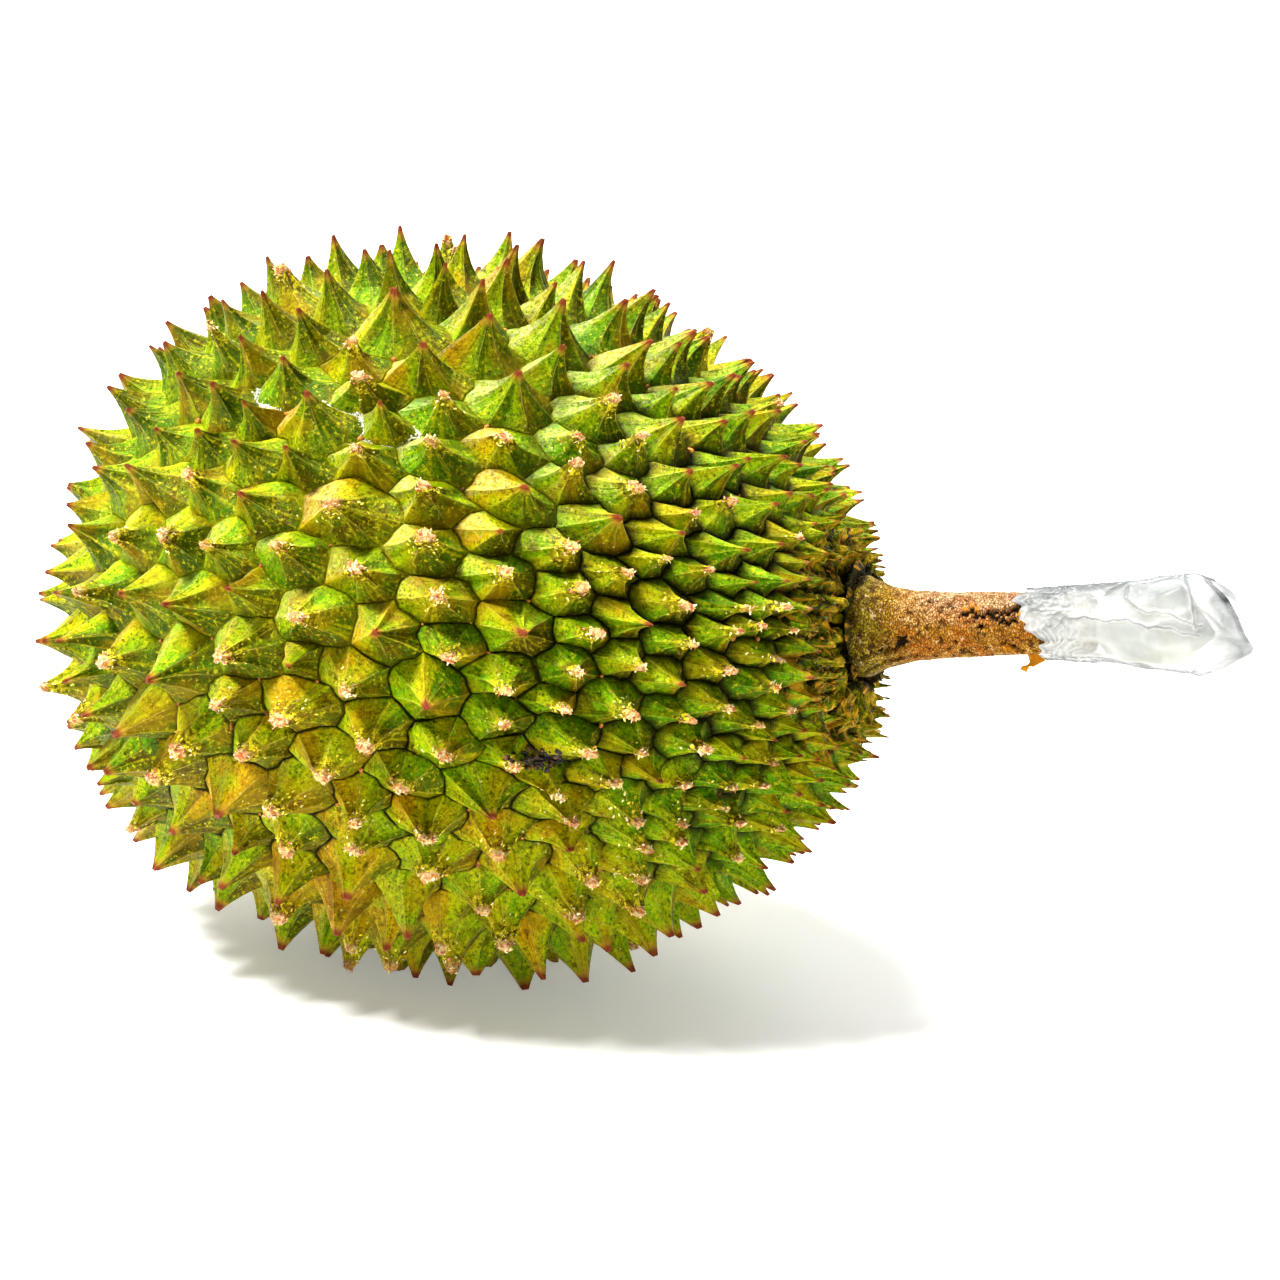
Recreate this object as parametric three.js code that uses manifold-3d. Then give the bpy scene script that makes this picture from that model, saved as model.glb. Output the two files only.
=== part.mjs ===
// A durian picked with its stem, lying on its side: the spiny husk, the woody stem, and the
// white wad and clear film wrapped round the stem's cut end.
// Millimetres, +Z up. The stem points along +X, and the worn spines underneath rest on z = 0.
import * as THREE from "three";
import { ConvexHull } from "three/addons/math/ConvexHull.js";
import { mergeVertices } from "three/addons/utils/BufferGeometryUtils.js";
import Module from "manifold-3d";

// Husk without its spines: an egg round the fruit's own axis, with shallow lobes.
const huskHalfLength = 107;
const huskRadius = 85;
const stemTaper = 0.16; // share of its radius that the egg loses towards the stem
const skew = 0.06; // the top sits this share of its height further from the stem than the middle
const stemSag = 5; // the stem end hangs this much lower than the middle
const noseSag = 8; // and the blossom end this much
const lobeCount = 5;
const lobeDepth = 0.012;
const firstSuture = 0.84; // angle of the first seam between lobes, from the top towards the front
const restTilt = 4; // degrees by which the stem end is raised as the fruit lies
const restingSpines = 7; // the fruit settles until this many of its lowest tips are worn flat
const restWear = 1.2; // and the last of them has lost this much

// Spines. Stations run from the stem (polar angle 0) to the blossom end (PI).
const seatPolar = 0.19; // edge of the bare seat round the stem
const spineWidthAt = [[0.2, 5.6], [0.45, 7.8], [0.8, 10.9], [1.25, 14], [2.1, 14.8], [Math.PI, 11]];
const spineHeightAt = [[0.2, 3.2], [0.4, 8], [0.8, 12.6], [1.4, 14.6], [2.2, 13], [Math.PI, 8.5]];
const spineLeanAt = [[0.2, 0.75], [0.8, 0.5], [1.5, 0.12], [2.2, 0], [Math.PI, 0]];
const sutureShortening = 0.24; // share of its height that a spine on a seam lacks
const sutureWidth = 0.15; // radians
const stretchTowardsStem = 1.6; // how much longer than wide the cells get near the stem
const widthSpread = 0.26; // random share of a spine's width
const heightSpread = 0.14;
const tipWander = 0.1; // how far a tip strays sideways, as a share of its spine's width
const waistRise = 0.42; // where a spine's hollow flank is narrowed, as a share of its height
const waistWidth = 0.51; // and its width there, as a share of its foot's
const waistFrom = 0.75; // polar angle from which the spines are large enough to have a waist
const fruitSeed = 7;
const tipSeed = 11;
const seedTries = 16000;
const crowding = 0.8; // how close two seeds may be thrown, as a share of their spacing
const settlingRounds = 40; // in which the seeds push each other apart
const settlingReach = 1.25; // up to this much more than their spacing
const settlingPush = 0.3; // share of the missing room that each round makes

// Stem. Its stations run along its own centre line from its foot in the husk.
const stemEnd = 60;
const footRadius = 11.6;
const flange = { from: 1.3, to: 4.4, radius: 12.4 }; // the thickened ring round the foot
const stemProfile = [
  [0, footRadius], [flange.from, flange.radius], [flange.to, flange.radius], [7.5, 11], [11, 9.6],
  [16, 8.6], [24, 8], [36, 7.7], [50, 7.5], [stemEnd - 1.2, 7.4], [stemEnd, 6.6],
];
const barkUnevenness = 0.018; // share of its radius
const footSag = 1.8; // its foot sits this much below the fruit's axis
const stemLift = 3.8; // degrees by which it leaves above that axis
const stemDroop = 3; // and by which it turns back down along its length
const seatDepth = 3.4; // the foot is sunk this far below the end of the husk
const seatGroove = 1.1; // width of the groove round the foot
const touchGap = 0.3; // between pieces that touch
const flake = { from: 39, length: 6.3, drop: 5, thickness: 1, sunk: 0.6, towardsFront: 3.4, turn: 76 };

// Wrapping of the cut end. Its stations run from the film's open rim to its pinched end.
const filmStart = 44.5; // station of the stem where the rim lies
const filmLength = 48;
const filmWall = 0.7;
const filmHalfHeightAt = [[0, 8.7], [8, 9], [20, 9.8], [32, 10.7], [38, 11], [43, 10.6], [48, 8.4]];
const filmHalfDepthAt = [[0, 8.7], [8, 8.9], [20, 9.5], [32, 9.8], [38, 7.8], [43, 4.4], [48, 1.5]];
const filmPinch = 38; // station from which its end is pressed flat
const filmSlant = 4; // the pinched end reaches this much further below than above
const rimSlant = 3; // and the rim this much further back above than in the middle
const rimRaggedness = 1.2;
const foldDepth = 0.55;
const foldCount = 7;
const foldWander = { turn: 2.2, every: 7 }; // how far the folds wind round the stem, and how soon
const thinnest = 0.2; // half height or half depth of the film's hollow at its pinched end
const wadLength = 25;
const wadRounding = 5;
const wadEnds = 0.4; // share of its length that the rounding of both ends takes

const degree = Math.PI / 180;
const wasm = await Module();
wasm.setup();

// A small repeatable random source, so that the same fruit grows every time.
function seededRandom(seed) {
  let state = seed >>> 0;
  return () => {
    state = (Math.imul(state, 1664525) + 1013904223) >>> 0;
    return state / 4294967296;
  };
}

// The value of a station table at x, in a straight line between the stations on either side.
function atStation(table, x) {
  const last = table.length - 1;
  if (x <= table[0][0]) return table[0][1];
  if (x >= table[last][0]) return table[last][1];
  const next = table.findIndex(([station]) => station > x);
  const [x0, y0] = table[next - 1];
  const [x1, y1] = table[next];
  const share = (x - x0) / (x1 - x0);
  return y0 + (y1 - y0) * share;
}

// A point of the bare husk, with the fruit's axis along X and its middle at the origin.
function huskPoint(polar, around) {
  const lobe = 1 - lobeDepth * Math.cos(lobeCount * (around - firstSuture)) * Math.sin(polar) ** 2;
  const taper = 1 - stemTaper * ((1 + Math.cos(polar)) / 2) ** 3;
  const radius = huskRadius * taper * lobe * Math.sin(polar);
  const height = radius * Math.cos(around);
  const along = huskHalfLength * Math.cos(polar) - skew * height;
  const sag = (polar < Math.PI / 2 ? stemSag : noseSag) * Math.cos(polar) ** 2;
  return new THREE.Vector3(along, -radius * Math.sin(around), height - sag);
}

function huskNormal(point) {
  const a2 = huskHalfLength ** 2;
  const b2 = huskRadius ** 2;
  return new THREE.Vector3(point.x / a2, point.y / b2, point.z / b2).normalize();
}

// The seeds grow on a unit ball. Its polar angle is eased so that cells near the stem come out long.
const huskPolar = (ballPolar) => Math.PI * (ballPolar / Math.PI) ** stretchTowardsStem;

function ballSpacing(ballPolar) {
  const polar = huskPolar(ballPolar);
  const easing = stretchTowardsStem * (ballPolar / Math.PI) ** (stretchTowardsStem - 1);
  const alongMeridian = Math.hypot(huskHalfLength * Math.sin(polar), huskRadius * Math.cos(polar)) * easing;
  const alongParallel = (huskRadius * Math.sin(polar)) / Math.sin(ballPolar);
  return atStation(spineWidthAt, polar) / Math.sqrt(alongMeridian * alongParallel);
}

// Seeds thrown at random, kept where there is room, then pushed apart until they lie evenly.
function growSeeds() {
  const random = seededRandom(fruitSeed);
  const seatBall = Math.PI * (seatPolar / Math.PI) ** (1 / stretchTowardsStem);
  const seeds = [{ at: new THREE.Vector3(1, 0, 0), spacing: 2 * seatBall, seat: true }];
  for (let i = 0; i < seedTries; i++) {
    const cos = 1 - 2 * random();
    const around = 2 * Math.PI * random();
    const spread = 1 + widthSpread * (2 * random() - 1);
    const sin = Math.sqrt(1 - cos * cos);
    const at = new THREE.Vector3(cos, -sin * Math.sin(around), sin * Math.cos(around));
    const spacing = ballSpacing(Math.acos(cos)) * spread;
    const free = seeds.every((s) => at.distanceTo(s.at) > crowding * 0.5 * (s.spacing + spacing));
    if (free) seeds.push({ at, spacing });
  }
  for (let round = 0; round < settlingRounds; round++) {
    const pushes = seeds.map((seed) => {
      const push = new THREE.Vector3();
      for (const other of seeds) {
        const apart = seed.at.distanceTo(other.at);
        const wanted = settlingReach * 0.5 * (seed.spacing + other.spacing);
        if (other === seed || apart >= wanted) continue;
        const share = (settlingPush * (wanted - apart)) / apart;
        push.addScaledVector(seed.at.clone().sub(other.at), share);
      }
      return push;
    });
    seeds.forEach((seed, i) => {
      if (!seed.seat) seed.at.add(pushes[i]).normalize();
    });
  }
  return seeds;
}

// Each seed owns a cell of the husk: its corners are the middles of the triangles that meet at the seed.
function growCells(seeds) {
  const indexOf = new Map(seeds.map((seed, i) => [seed.at, i]));
  const hull = new ConvexHull().setFromPoints(seeds.map((seed) => seed.at));
  const corners = [];
  const nextCorner = seeds.map(() => new Map());
  const cornerOfFace = new Map(hull.faces.map((face, i) => [face, i]));
  for (const face of hull.faces) {
    const middle = new THREE.Vector3();
    for (let k = 0; k < 3; k++) middle.add(face.getEdge(k).head().point);
    corners.push(onHusk(middle.normalize()));
    for (let k = 0; k < 3; k++) {
      const edge = face.getEdge(k);
      // Going round the edge's end point, the next corner lies across this edge.
      const pivot = indexOf.get(edge.head().point);
      nextCorner[pivot].set(cornerOfFace.get(face), cornerOfFace.get(edge.twin.face));
    }
  }
  const rings = nextCorner.map((next) => {
    const first = next.keys().next().value;
    const ring = [first];
    for (let c = next.get(first); c !== first; c = next.get(c)) ring.push(c);
    return ring;
  });
  return { corners, rings };
}

// Where a direction on the unit ball comes out on the husk.
function onHusk(direction) {
  const ballPolar = Math.acos(THREE.MathUtils.clamp(direction.x, -1, 1));
  return huskPoint(huskPolar(ballPolar), Math.atan2(-direction.y, direction.z));
}

// How close a point is to a seam between two lobes, from 0 to 1.
function nearSuture(point) {
  const around = Math.atan2(-point.y, point.z) - firstSuture;
  const lobeAngle = (2 * Math.PI) / lobeCount;
  const off = around - lobeAngle * Math.round(around / lobeAngle);
  return Math.exp(-((off / sutureWidth) ** 2));
}

function polarOf(foot) {
  return Math.acos(THREE.MathUtils.clamp((foot.x + skew * foot.z) / huskHalfLength, -1, 1));
}

// The tip of a cell's spine: out along the normal, leaning towards the stem, and a little astray.
function spineTip(foot, random) {
  const polar = polarOf(foot);
  const grown = 1 + heightSpread * (2 * random() - 1);
  const height = atStation(spineHeightAt, polar) * grown * (1 - sutureShortening * nearSuture(foot));
  const stray = atStation(spineWidthAt, polar) * tipWander;
  const tip = huskNormal(foot).addScaledVector(new THREE.Vector3(1, 0, 0), atStation(spineLeanAt, polar));
  tip.normalize().multiplyScalar(height).add(foot);
  return tip.add(new THREE.Vector3(...[0, 0, 0].map(() => stray * (2 * random() - 1))));
}

// The whole husk as one closed skin: every cell rises in a hollow-flanked pyramid to its tip.
function huskSkin() {
  const seeds = growSeeds();
  const { corners, rings } = growCells(seeds);
  const random = seededRandom(tipSeed);
  const points = [...corners];
  const triangles = [];
  const tips = [];
  rings.forEach((ring, i) => {
    const foot = onHusk(seeds[i].at);
    tips.push(seeds[i].seat ? foot.clone() : spineTip(foot, random));
    const tip = points.push(tips[i]) - 1;
    if (polarOf(foot) < waistFrom) {
      ring.forEach((corner, k) => triangles.push(corner, ring[(k + 1) % ring.length], tip));
      return;
    }
    const waistMiddle = foot.clone().lerp(points[tip], waistRise);
    const waist = ring.map((corner) => {
      const outwards = points[corner].clone().sub(foot).multiplyScalar(waistWidth);
      return points.push(outwards.add(waistMiddle)) - 1;
    });
    ring.forEach((corner, k) => {
      const next = (k + 1) % ring.length;
      triangles.push(corner, ring[next], waist[next], corner, waist[next], waist[k]);
      triangles.push(waist[k], waist[next], tip);
    });
  });
  return { points, triangles, tips };
}

// A closed solid through a run of rings with the same number of points, capped with a fan at each end.
function loft(rings) {
  const count = rings[0].length;
  const points = rings.flat();
  const triangles = [];
  for (let i = 0; i + 1 < rings.length; i++) {
    for (let k = 0; k < count; k++) {
      const a = i * count + k;
      const b = i * count + ((k + 1) % count);
      triangles.push(a, b + count, b, a, a + count, b + count);
    }
  }
  const middleOf = (ring) => ring.reduce((sum, p) => sum.add(p), new THREE.Vector3()).divideScalar(count);
  const first = points.push(middleOf(rings[0])) - 1;
  const last = points.push(middleOf(rings.at(-1))) - 1;
  const lastRing = (rings.length - 1) * count;
  for (let k = 0; k < count; k++) {
    const next = (k + 1) % count;
    triangles.push(first, k, next, last, lastRing + next, lastRing + k);
  }
  return geometryOf({ points, triangles });
}

// A point beside the stem's centre line: `along` is its station, `angle` runs from the top
// towards the back, and the section is an oval of the given half height and half depth.
function besideStem(along, angle, halfHeight, halfDepth = halfHeight) {
  const bend = (stemDroop * degree) / (filmStart + filmLength);
  const slope = stemLift * degree - bend * along;
  const rise = stemLift * degree * along - (bend * along ** 2) / 2 - footSag;
  const centre = new THREE.Vector3(huskHalfLength - seatDepth + along, 0, rise);
  const up = new THREE.Vector3(-Math.sin(slope), 0, Math.cos(slope));
  return centre
    .addScaledVector(up, halfHeight * Math.cos(angle))
    .add(new THREE.Vector3(0, halfDepth * Math.sin(angle), 0));
}

function ringAround(count, pointAt) {
  return Array.from({ length: count }, (_, k) => pointAt((2 * Math.PI * k) / count));
}

function stations(from, to, count) {
  return Array.from({ length: count + 1 }, (_, i) => from + ((to - from) * i) / count);
}

function stemGeometry() {
  const around = 28;
  const inFoot = stemProfile.slice(0, 6).map(([along]) => along);
  const inShaft = stations(20, stemProfile.at(-2)[0], 12);
  return loft([...inFoot, ...inShaft, stemEnd].map((along) => {
    const radius = atStation(stemProfile, along);
    return ringAround(around, (angle) => {
      const bark = Math.sin(2 * angle + along / 17) + 0.6 * Math.sin(5 * angle - along / 9);
      return besideStem(along, angle, radius * (1 + barkUnevenness * bark));
    });
  }));
}

// A flake of bark that has come loose below the stem and hangs by its upper edge.
function flakeGeometry() {
  const edge = [[0, 0.5], [0.1, -0.35], [0.32, -0.55], [0.55, -1], [0.8, -0.62], [1, -0.2], [0.94, 0.5]];
  const outline = new THREE.Shape(edge.map(([along, up]) => (
    new THREE.Vector2(along * flake.length, up * flake.drop)
  )));
  const plate = new THREE.ExtrudeGeometry(outline, { depth: flake.thickness, bevelEnabled: false });
  const under = besideStem(flake.from, Math.PI, atStation(stemProfile, flake.from) - flake.sunk);
  return plate.rotateX(flake.turn * degree).translate(under.x, under.y - flake.towardsFront, under.z);
}

// A point of the film's wall, moved inwards by `inset`, on folds of the given depth.
function filmPoint(along, angle, inset, fold) {
  const share = along / filmLength;
  const winding = foldWander.turn * Math.sin(along / foldWander.every);
  const crease = fold * (0.5 + 0.5 * Math.sin(foldCount * angle + winding));
  const reach = filmSlant * share ** 3 * -Math.cos(angle);
  const nearRim = (1 - share) ** 6;
  const ragged = nearRim * (rimRaggedness * Math.sin(3 * angle + 1) - rimSlant * Math.cos(angle));
  return besideStem(
    filmStart + along + reach + ragged,
    angle,
    Math.max(atStation(filmHalfHeightAt, along) + crease - inset, thinnest),
    Math.max(atStation(filmHalfDepthAt, along) + crease - inset, thinnest),
  );
}

function filmGeometry() {
  const around = 30;
  const runs = [...stations(0, filmPinch, 11), ...stations(filmPinch, filmLength, 4).slice(1)];
  const outside = runs.map((along) => ringAround(around, (a) => filmPoint(along, a, 0, foldDepth)));
  const inside = runs.slice(0, -1).map((along) => (
    ringAround(around, (a) => filmPoint(along, a, filmWall, foldDepth))
  ));
  return loft([...inside.reverse(), ...outside]);
}

// The wad fills the film between the stem's end and the pinch, with both of its ends rounded.
function wadGeometry() {
  const around = 24;
  const start = stemEnd + 2 * touchGap - filmStart;
  const clear = filmWall + touchGap;
  return loft(stations(0, 1, 10).map((share) => {
    const intoEnd = Math.max(Math.abs(2 * share - 1) - 1 + wadEnds, 0) / wadEnds;
    const inset = clear + wadRounding * intoEnd ** 2;
    return ringAround(around, (angle) => filmPoint(start + wadLength * share, angle, inset, 0));
  }));
}

function geometryOf({ points, triangles }) {
  return new THREE.BufferGeometry().setFromPoints(points).setIndex(triangles);
}

// A three.js geometry as a manifold-3d solid, and back.
function toSolid(geometry) {
  const bare = geometry.clone();
  bare.deleteAttribute("normal");
  bare.deleteAttribute("uv");
  const merged = mergeVertices(bare, 1e-4);
  const corners = merged.index ? merged.index.array : merged.attributes.position.array.map((_, i) => i);
  return new wasm.Manifold(new wasm.Mesh({
    numProp: 3,
    vertProperties: merged.attributes.position.array,
    triVerts: new Uint32Array(corners),
  }));
}

function toGeometry(solid) {
  const mesh = solid.getMesh();
  const geometry = new THREE.BufferGeometry();
  geometry.setAttribute("position", new THREE.BufferAttribute(mesh.vertProperties, 3));
  return geometry.setIndex(new THREE.BufferAttribute(mesh.triVerts, 1));
}

function addMesh(group, name, geometry, colour, roughness) {
  const material = new THREE.MeshStandardMaterial({ color: colour, roughness, metalness: 0 });
  const mesh = new THREE.Mesh(geometry, material);
  mesh.name = name;
  group.add(mesh);
  return mesh;
}

// The socket that the stem's foot stands in, open to the outside.
function socketGeometry() {
  const around = 28;
  const above = 12; // clear of the spines round the seat
  const profile = [
    [-touchGap, footRadius + touchGap],
    [flange.from, flange.radius + touchGap],
    [seatDepth, flange.radius + seatGroove],
    [above, flange.radius + 2 * seatGroove],
  ];
  return loft(profile.map(([along, radius]) => (
    ringAround(around, (angle) => besideStem(along, angle, radius))
  )));
}

// Everything is built round the fruit's axis, then laid down and lifted on to its worn spines.
const lay = new THREE.Matrix4().makeRotationY(-restTilt * degree);
const skin = huskSkin();
const tipHeights = skin.tips.map((tip) => tip.clone().applyMatrix4(lay).z).sort((a, b) => a - b);
const restHeight = tipHeights[restingSpines - 1] + restWear;
lay.premultiply(new THREE.Matrix4().makeTranslation(0, 0, -restHeight));
const spiny = geometryOf(skin).applyMatrix4(lay);
const groundSize = 400;
const ground = new THREE.BoxGeometry(groundSize, groundSize, groundSize).translate(0, 0, -groundSize / 2);
const socket = toSolid(socketGeometry().applyMatrix4(lay));
const huskSolid = toSolid(spiny).subtract(socket).subtract(toSolid(ground));
const stemSolid = toSolid(stemGeometry()).add(toSolid(flakeGeometry()));

const durian = new THREE.Group();
addMesh(durian, "husk", toGeometry(huskSolid), 0x8fa62a, 0.5);
addMesh(durian, "stem", toGeometry(stemSolid).applyMatrix4(lay), 0xa8743a, 0.75);
addMesh(durian, "wad", wadGeometry().applyMatrix4(lay), 0xf2f4ef, 0.9);
addMesh(durian, "film", filmGeometry().applyMatrix4(lay), 0xe9eeee, 0.15);

// The origin is under the middle of the whole.
const whole = new THREE.Box3().setFromObject(durian);
const middle = whole.getCenter(new THREE.Vector3());
durian.position.set(-middle.x, -middle.y, 0);

export default durian;
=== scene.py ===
import heapq
import math
import bpy
import numpy as np
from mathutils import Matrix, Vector, noise
from mathutils.bvhtree import BVHTree


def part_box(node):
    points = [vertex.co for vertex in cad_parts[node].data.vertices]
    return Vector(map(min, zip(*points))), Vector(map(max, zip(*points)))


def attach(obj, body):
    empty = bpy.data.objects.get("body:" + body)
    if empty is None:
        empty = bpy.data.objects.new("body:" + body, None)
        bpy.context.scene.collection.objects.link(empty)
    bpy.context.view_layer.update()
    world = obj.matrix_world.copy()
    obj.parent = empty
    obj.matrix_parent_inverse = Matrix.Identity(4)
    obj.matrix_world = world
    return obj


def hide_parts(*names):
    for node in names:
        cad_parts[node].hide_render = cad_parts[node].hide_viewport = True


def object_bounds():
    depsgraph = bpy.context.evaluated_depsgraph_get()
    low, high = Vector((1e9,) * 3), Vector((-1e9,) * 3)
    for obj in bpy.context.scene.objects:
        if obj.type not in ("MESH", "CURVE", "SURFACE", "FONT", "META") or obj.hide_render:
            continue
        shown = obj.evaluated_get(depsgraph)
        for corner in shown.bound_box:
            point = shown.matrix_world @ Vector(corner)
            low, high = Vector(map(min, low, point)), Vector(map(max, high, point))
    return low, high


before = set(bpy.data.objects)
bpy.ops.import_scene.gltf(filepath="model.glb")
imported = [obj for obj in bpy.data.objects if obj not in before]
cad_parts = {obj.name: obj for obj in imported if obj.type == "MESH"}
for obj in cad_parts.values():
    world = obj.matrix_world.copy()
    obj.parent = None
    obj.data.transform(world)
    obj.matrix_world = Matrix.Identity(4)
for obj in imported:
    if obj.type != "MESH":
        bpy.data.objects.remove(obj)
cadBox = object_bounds()
mm = 0.001


# camera and light
imageSize = 1280  # pixels, the framing is square
cameraPlan = {
    "azimuth": 24.0,
    "elevation": 14.0,
    "distance": 0.79,
    "lens": 85.4,
    "sensor": 36.0,
    "huskAt": (459, 594),  # pixel on which the middle of the husk stands
}
lightPlan = {               # watts and metres
    "key": {"power": 68.0, "size": 0.35, "place": (-0.78, -0.75, 1.75)},
    "rim": {"power": 74.0, "size": 0.5, "place": (-0.45, 0.2, 1.9)},
    "fill": {"power": 7.0, "size": 1.4, "place": (1.5, -1.9, 0.7)},
    "wall": {"power": 10.0, "size": 1.6, "place": (0.3, 0.95, 2.0), "aim": (0.2, 1.5, 0.4)},
}
skyStrength = 0.08
boardPlan = {               # in metres
    "front": 2.6,
    "behind": 1.5,
    "side": 3.0,
    "rise": 2.4,
    "bend": 0.5,
    "steps": 12,
    "colour": "#F6F6F5",
    "glow": 0.3,            # a light table, which keeps the shadow pale
}


def linearColour(hexText, alpha=1.0):
    # sRGB hex to the linear numbers that nodes want
    channels = [int(hexText[i:i + 2], 16) / 255 for i in (1, 3, 5)]
    return [c / 12.92 if c <= 0.04045 else ((c + 0.055) / 1.055) ** 2.4 for c in channels] + [alpha]


def feed(tree, node, inputs):
    # inputs: socket name or number -> value, or the socket that feeds it
    for key, value in dict(inputs).items():
        if isinstance(value, bpy.types.NodeSocket):
            tree.links.new(value, node.inputs[key])
        else:
            node.inputs[key].default_value = value


def addNode(tree, kind, inputs=(), **settings):
    node = tree.nodes.new(kind)
    for name, value in settings.items():
        setattr(node, name, value)
    feed(tree, node, inputs)
    return node


def maths(tree, operation, a, b=0.0, c=0.0):
    return addNode(tree, "ShaderNodeMath", {0: a, 1: b, 2: c}, operation=operation).outputs[0]


def times(tree, *factors):
    total = factors[0]
    for factor in factors[1:]:
        total = maths(tree, "MULTIPLY", total, factor)
    return total


def minus(tree, a, b):
    return maths(tree, "SUBTRACT", a, b)


def larger(tree, *values):
    top = values[0]
    for value in values[1:]:
        top = maths(tree, "MAXIMUM", top, value)
    return top


def above(tree, value, level):
    return maths(tree, "GREATER_THAN", value, level)


def added(tree, base, value, weight):
    return maths(tree, "MULTIPLY_ADD", value, weight, base)


def swayed(tree, base, value, weight):
    # moved by how far a value is from its middle, 0.5
    return maths(tree, "MULTIPLY_ADD", minus(tree, value, 0.5), weight, base)


def vectors(tree, operation, a, b=None, scale=None):
    inputs = {0: a}
    if b is not None:
        inputs[1] = b
    if scale is not None:
        inputs["Scale"] = scale
    node = addNode(tree, "ShaderNodeVectorMath", inputs, operation=operation)
    return node.outputs["Value" if operation in ("DOT_PRODUCT", "LENGTH") else "Vector"]


def remap(tree, value, low, high, toLow=0.0, toHigh=1.0):
    sockets = {"Value": value, "From Min": low, "From Max": high, "To Min": toLow, "To Max": toHigh}
    return addNode(tree, "ShaderNodeMapRange", sockets).outputs[0]


def mixed(tree, share, under, over):
    # each of the two is an sRGB hex or a socket
    under, over = (linearColour(side) if isinstance(side, str) else side for side in (under, over))
    return addNode(tree, "ShaderNodeMix", {0: share, 6: under, 7: over}, data_type="RGBA").outputs[2]


def layered(tree, colour, layers):
    # colours laid one over another, each as far as its share covers
    for share, over in layers:
        colour = mixed(tree, share, colour, over)
    return colour


def noiseOf(tree, place, size, detail=2.0, roughness=0.5, distortion=0.0):
    # size: width of a patch in mm, where the places are in metres
    sockets = {"Vector": place, "Scale": 0.5 / (size * mm), "Detail": detail, "Roughness": roughness,
               "Distortion": distortion}
    return addNode(tree, "ShaderNodeTexNoise", sockets).outputs["Fac"]


def spotsOf(tree, place, spacing, low, high):
    # round spots, one for each cell of the given width in mm; low and high are the radii in cells
    sockets = {"Vector": place, "Scale": 1 / (spacing * mm), "Randomness": 1.0}
    distance = addNode(tree, "ShaderNodeTexVoronoi", sockets).outputs["Distance"]
    return remap(tree, distance, low, high, 1.0, 0.0)


def readAttribute(tree, name):
    return addNode(tree, "ShaderNodeAttribute", attribute_name=name).outputs["Fac"]


def readAttributes(tree, *names):
    return [readAttribute(tree, name) for name in names]


def fillRamp(tree, level, stops):
    # stops: place -> sRGB hex
    node = addNode(tree, "ShaderNodeValToRGB", {0: level})
    ramp = node.color_ramp
    while len(ramp.elements) > 1:
        ramp.elements.remove(ramp.elements[-1])
    ramp.elements[0].position = stops[0][0]
    ramp.elements[0].color = linearColour(stops[0][1])
    for place, hexText in stops[1:]:
        ramp.elements.new(place).color = linearColour(hexText)
    return node.outputs[0]


def bumped(tree, surface, height, distance, strength=1.0):
    # distance in mm
    sockets = {"Strength": strength, "Distance": distance * mm, "Height": height}
    tree.links.new(addNode(tree, "ShaderNodeBump", sockets).outputs[0], surface.inputs["Normal"])


def blankMaterial(name):
    material = bpy.data.materials.new(name)
    material.use_nodes = True
    tree = material.node_tree
    tree.nodes.clear()
    surface = addNode(tree, "ShaderNodeBsdfPrincipled")
    addNode(tree, "ShaderNodeOutputMaterial", {"Surface": surface.outputs[0]})
    place = addNode(tree, "ShaderNodeTexCoord").outputs["Object"]
    return material, tree, surface, place


def meshObject(name, points, faces):
    mesh = bpy.data.meshes.new(name)
    mesh.from_pydata([tuple(p) for p in points], [], [tuple(int(i) for i in f) for f in faces])
    mesh.validate()
    thing = bpy.data.objects.new(name, mesh)
    bpy.context.scene.collection.objects.link(thing)
    return thing


def shadeSmooth(thing, sides=None):
    # all of it, or only the faces with so many sides
    for polygon in thing.data.polygons:
        polygon.use_smooth = sides in (None, len(polygon.vertices))


def storeAttribute(mesh, name, values, domain="POINT"):
    # a number for each point or face, or a place where the values have three columns
    values = np.asarray(values, dtype=np.float32)
    kind, field = ("FLOAT_VECTOR", "vector") if values.ndim == 2 else ("FLOAT", "value")
    mesh.attributes.new(name, kind, domain).data.foreach_set(field, values.ravel())


def bakeModifiers(thing):
    # the evaluated shape as a plain mesh, with no modifier left
    depsgraph = bpy.context.evaluated_depsgraph_get()
    mesh = bpy.data.meshes.new_from_object(thing.evaluated_get(depsgraph))
    thing.modifiers.clear()
    thing.data = mesh
    mesh.name = thing.name
    return thing


def runTree(thing, tree, values):
    modifier = thing.modifiers.new(tree.name, "NODES")
    modifier.node_group = tree
    for item in tree.interface.items_tree:
        if item.item_type == "SOCKET" and item.in_out == "INPUT" and item.name in values:
            modifier[item.identifier] = values[item.name]
    return bakeModifiers(thing)


def newTree(name, *labels):
    # a geometry tree with named inputs, which come back as what they give, and its last node
    tree = bpy.data.node_groups.new(name, "GeometryNodeTree")
    tree.interface.new_socket("Geometry", in_out="OUTPUT", socket_type="NodeSocketGeometry")
    tree.interface.new_socket("Geometry", in_out="INPUT", socket_type="NodeSocketGeometry")
    for label in labels:
        kind = "NodeSocketInt" if label == "Seed" else "NodeSocketFloat"
        tree.interface.new_socket(label, in_out="INPUT", socket_type=kind)
    return tree, addNode(tree, "NodeGroupInput").outputs, addNode(tree, "NodeGroupOutput")


def endTree(tree, end, mesh, material):
    mesh = addNode(tree, "GeometryNodeSetMaterial", {"Geometry": mesh, "Material": material}).outputs[0]
    tree.links.new(mesh, end.inputs[0])
    return tree


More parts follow.
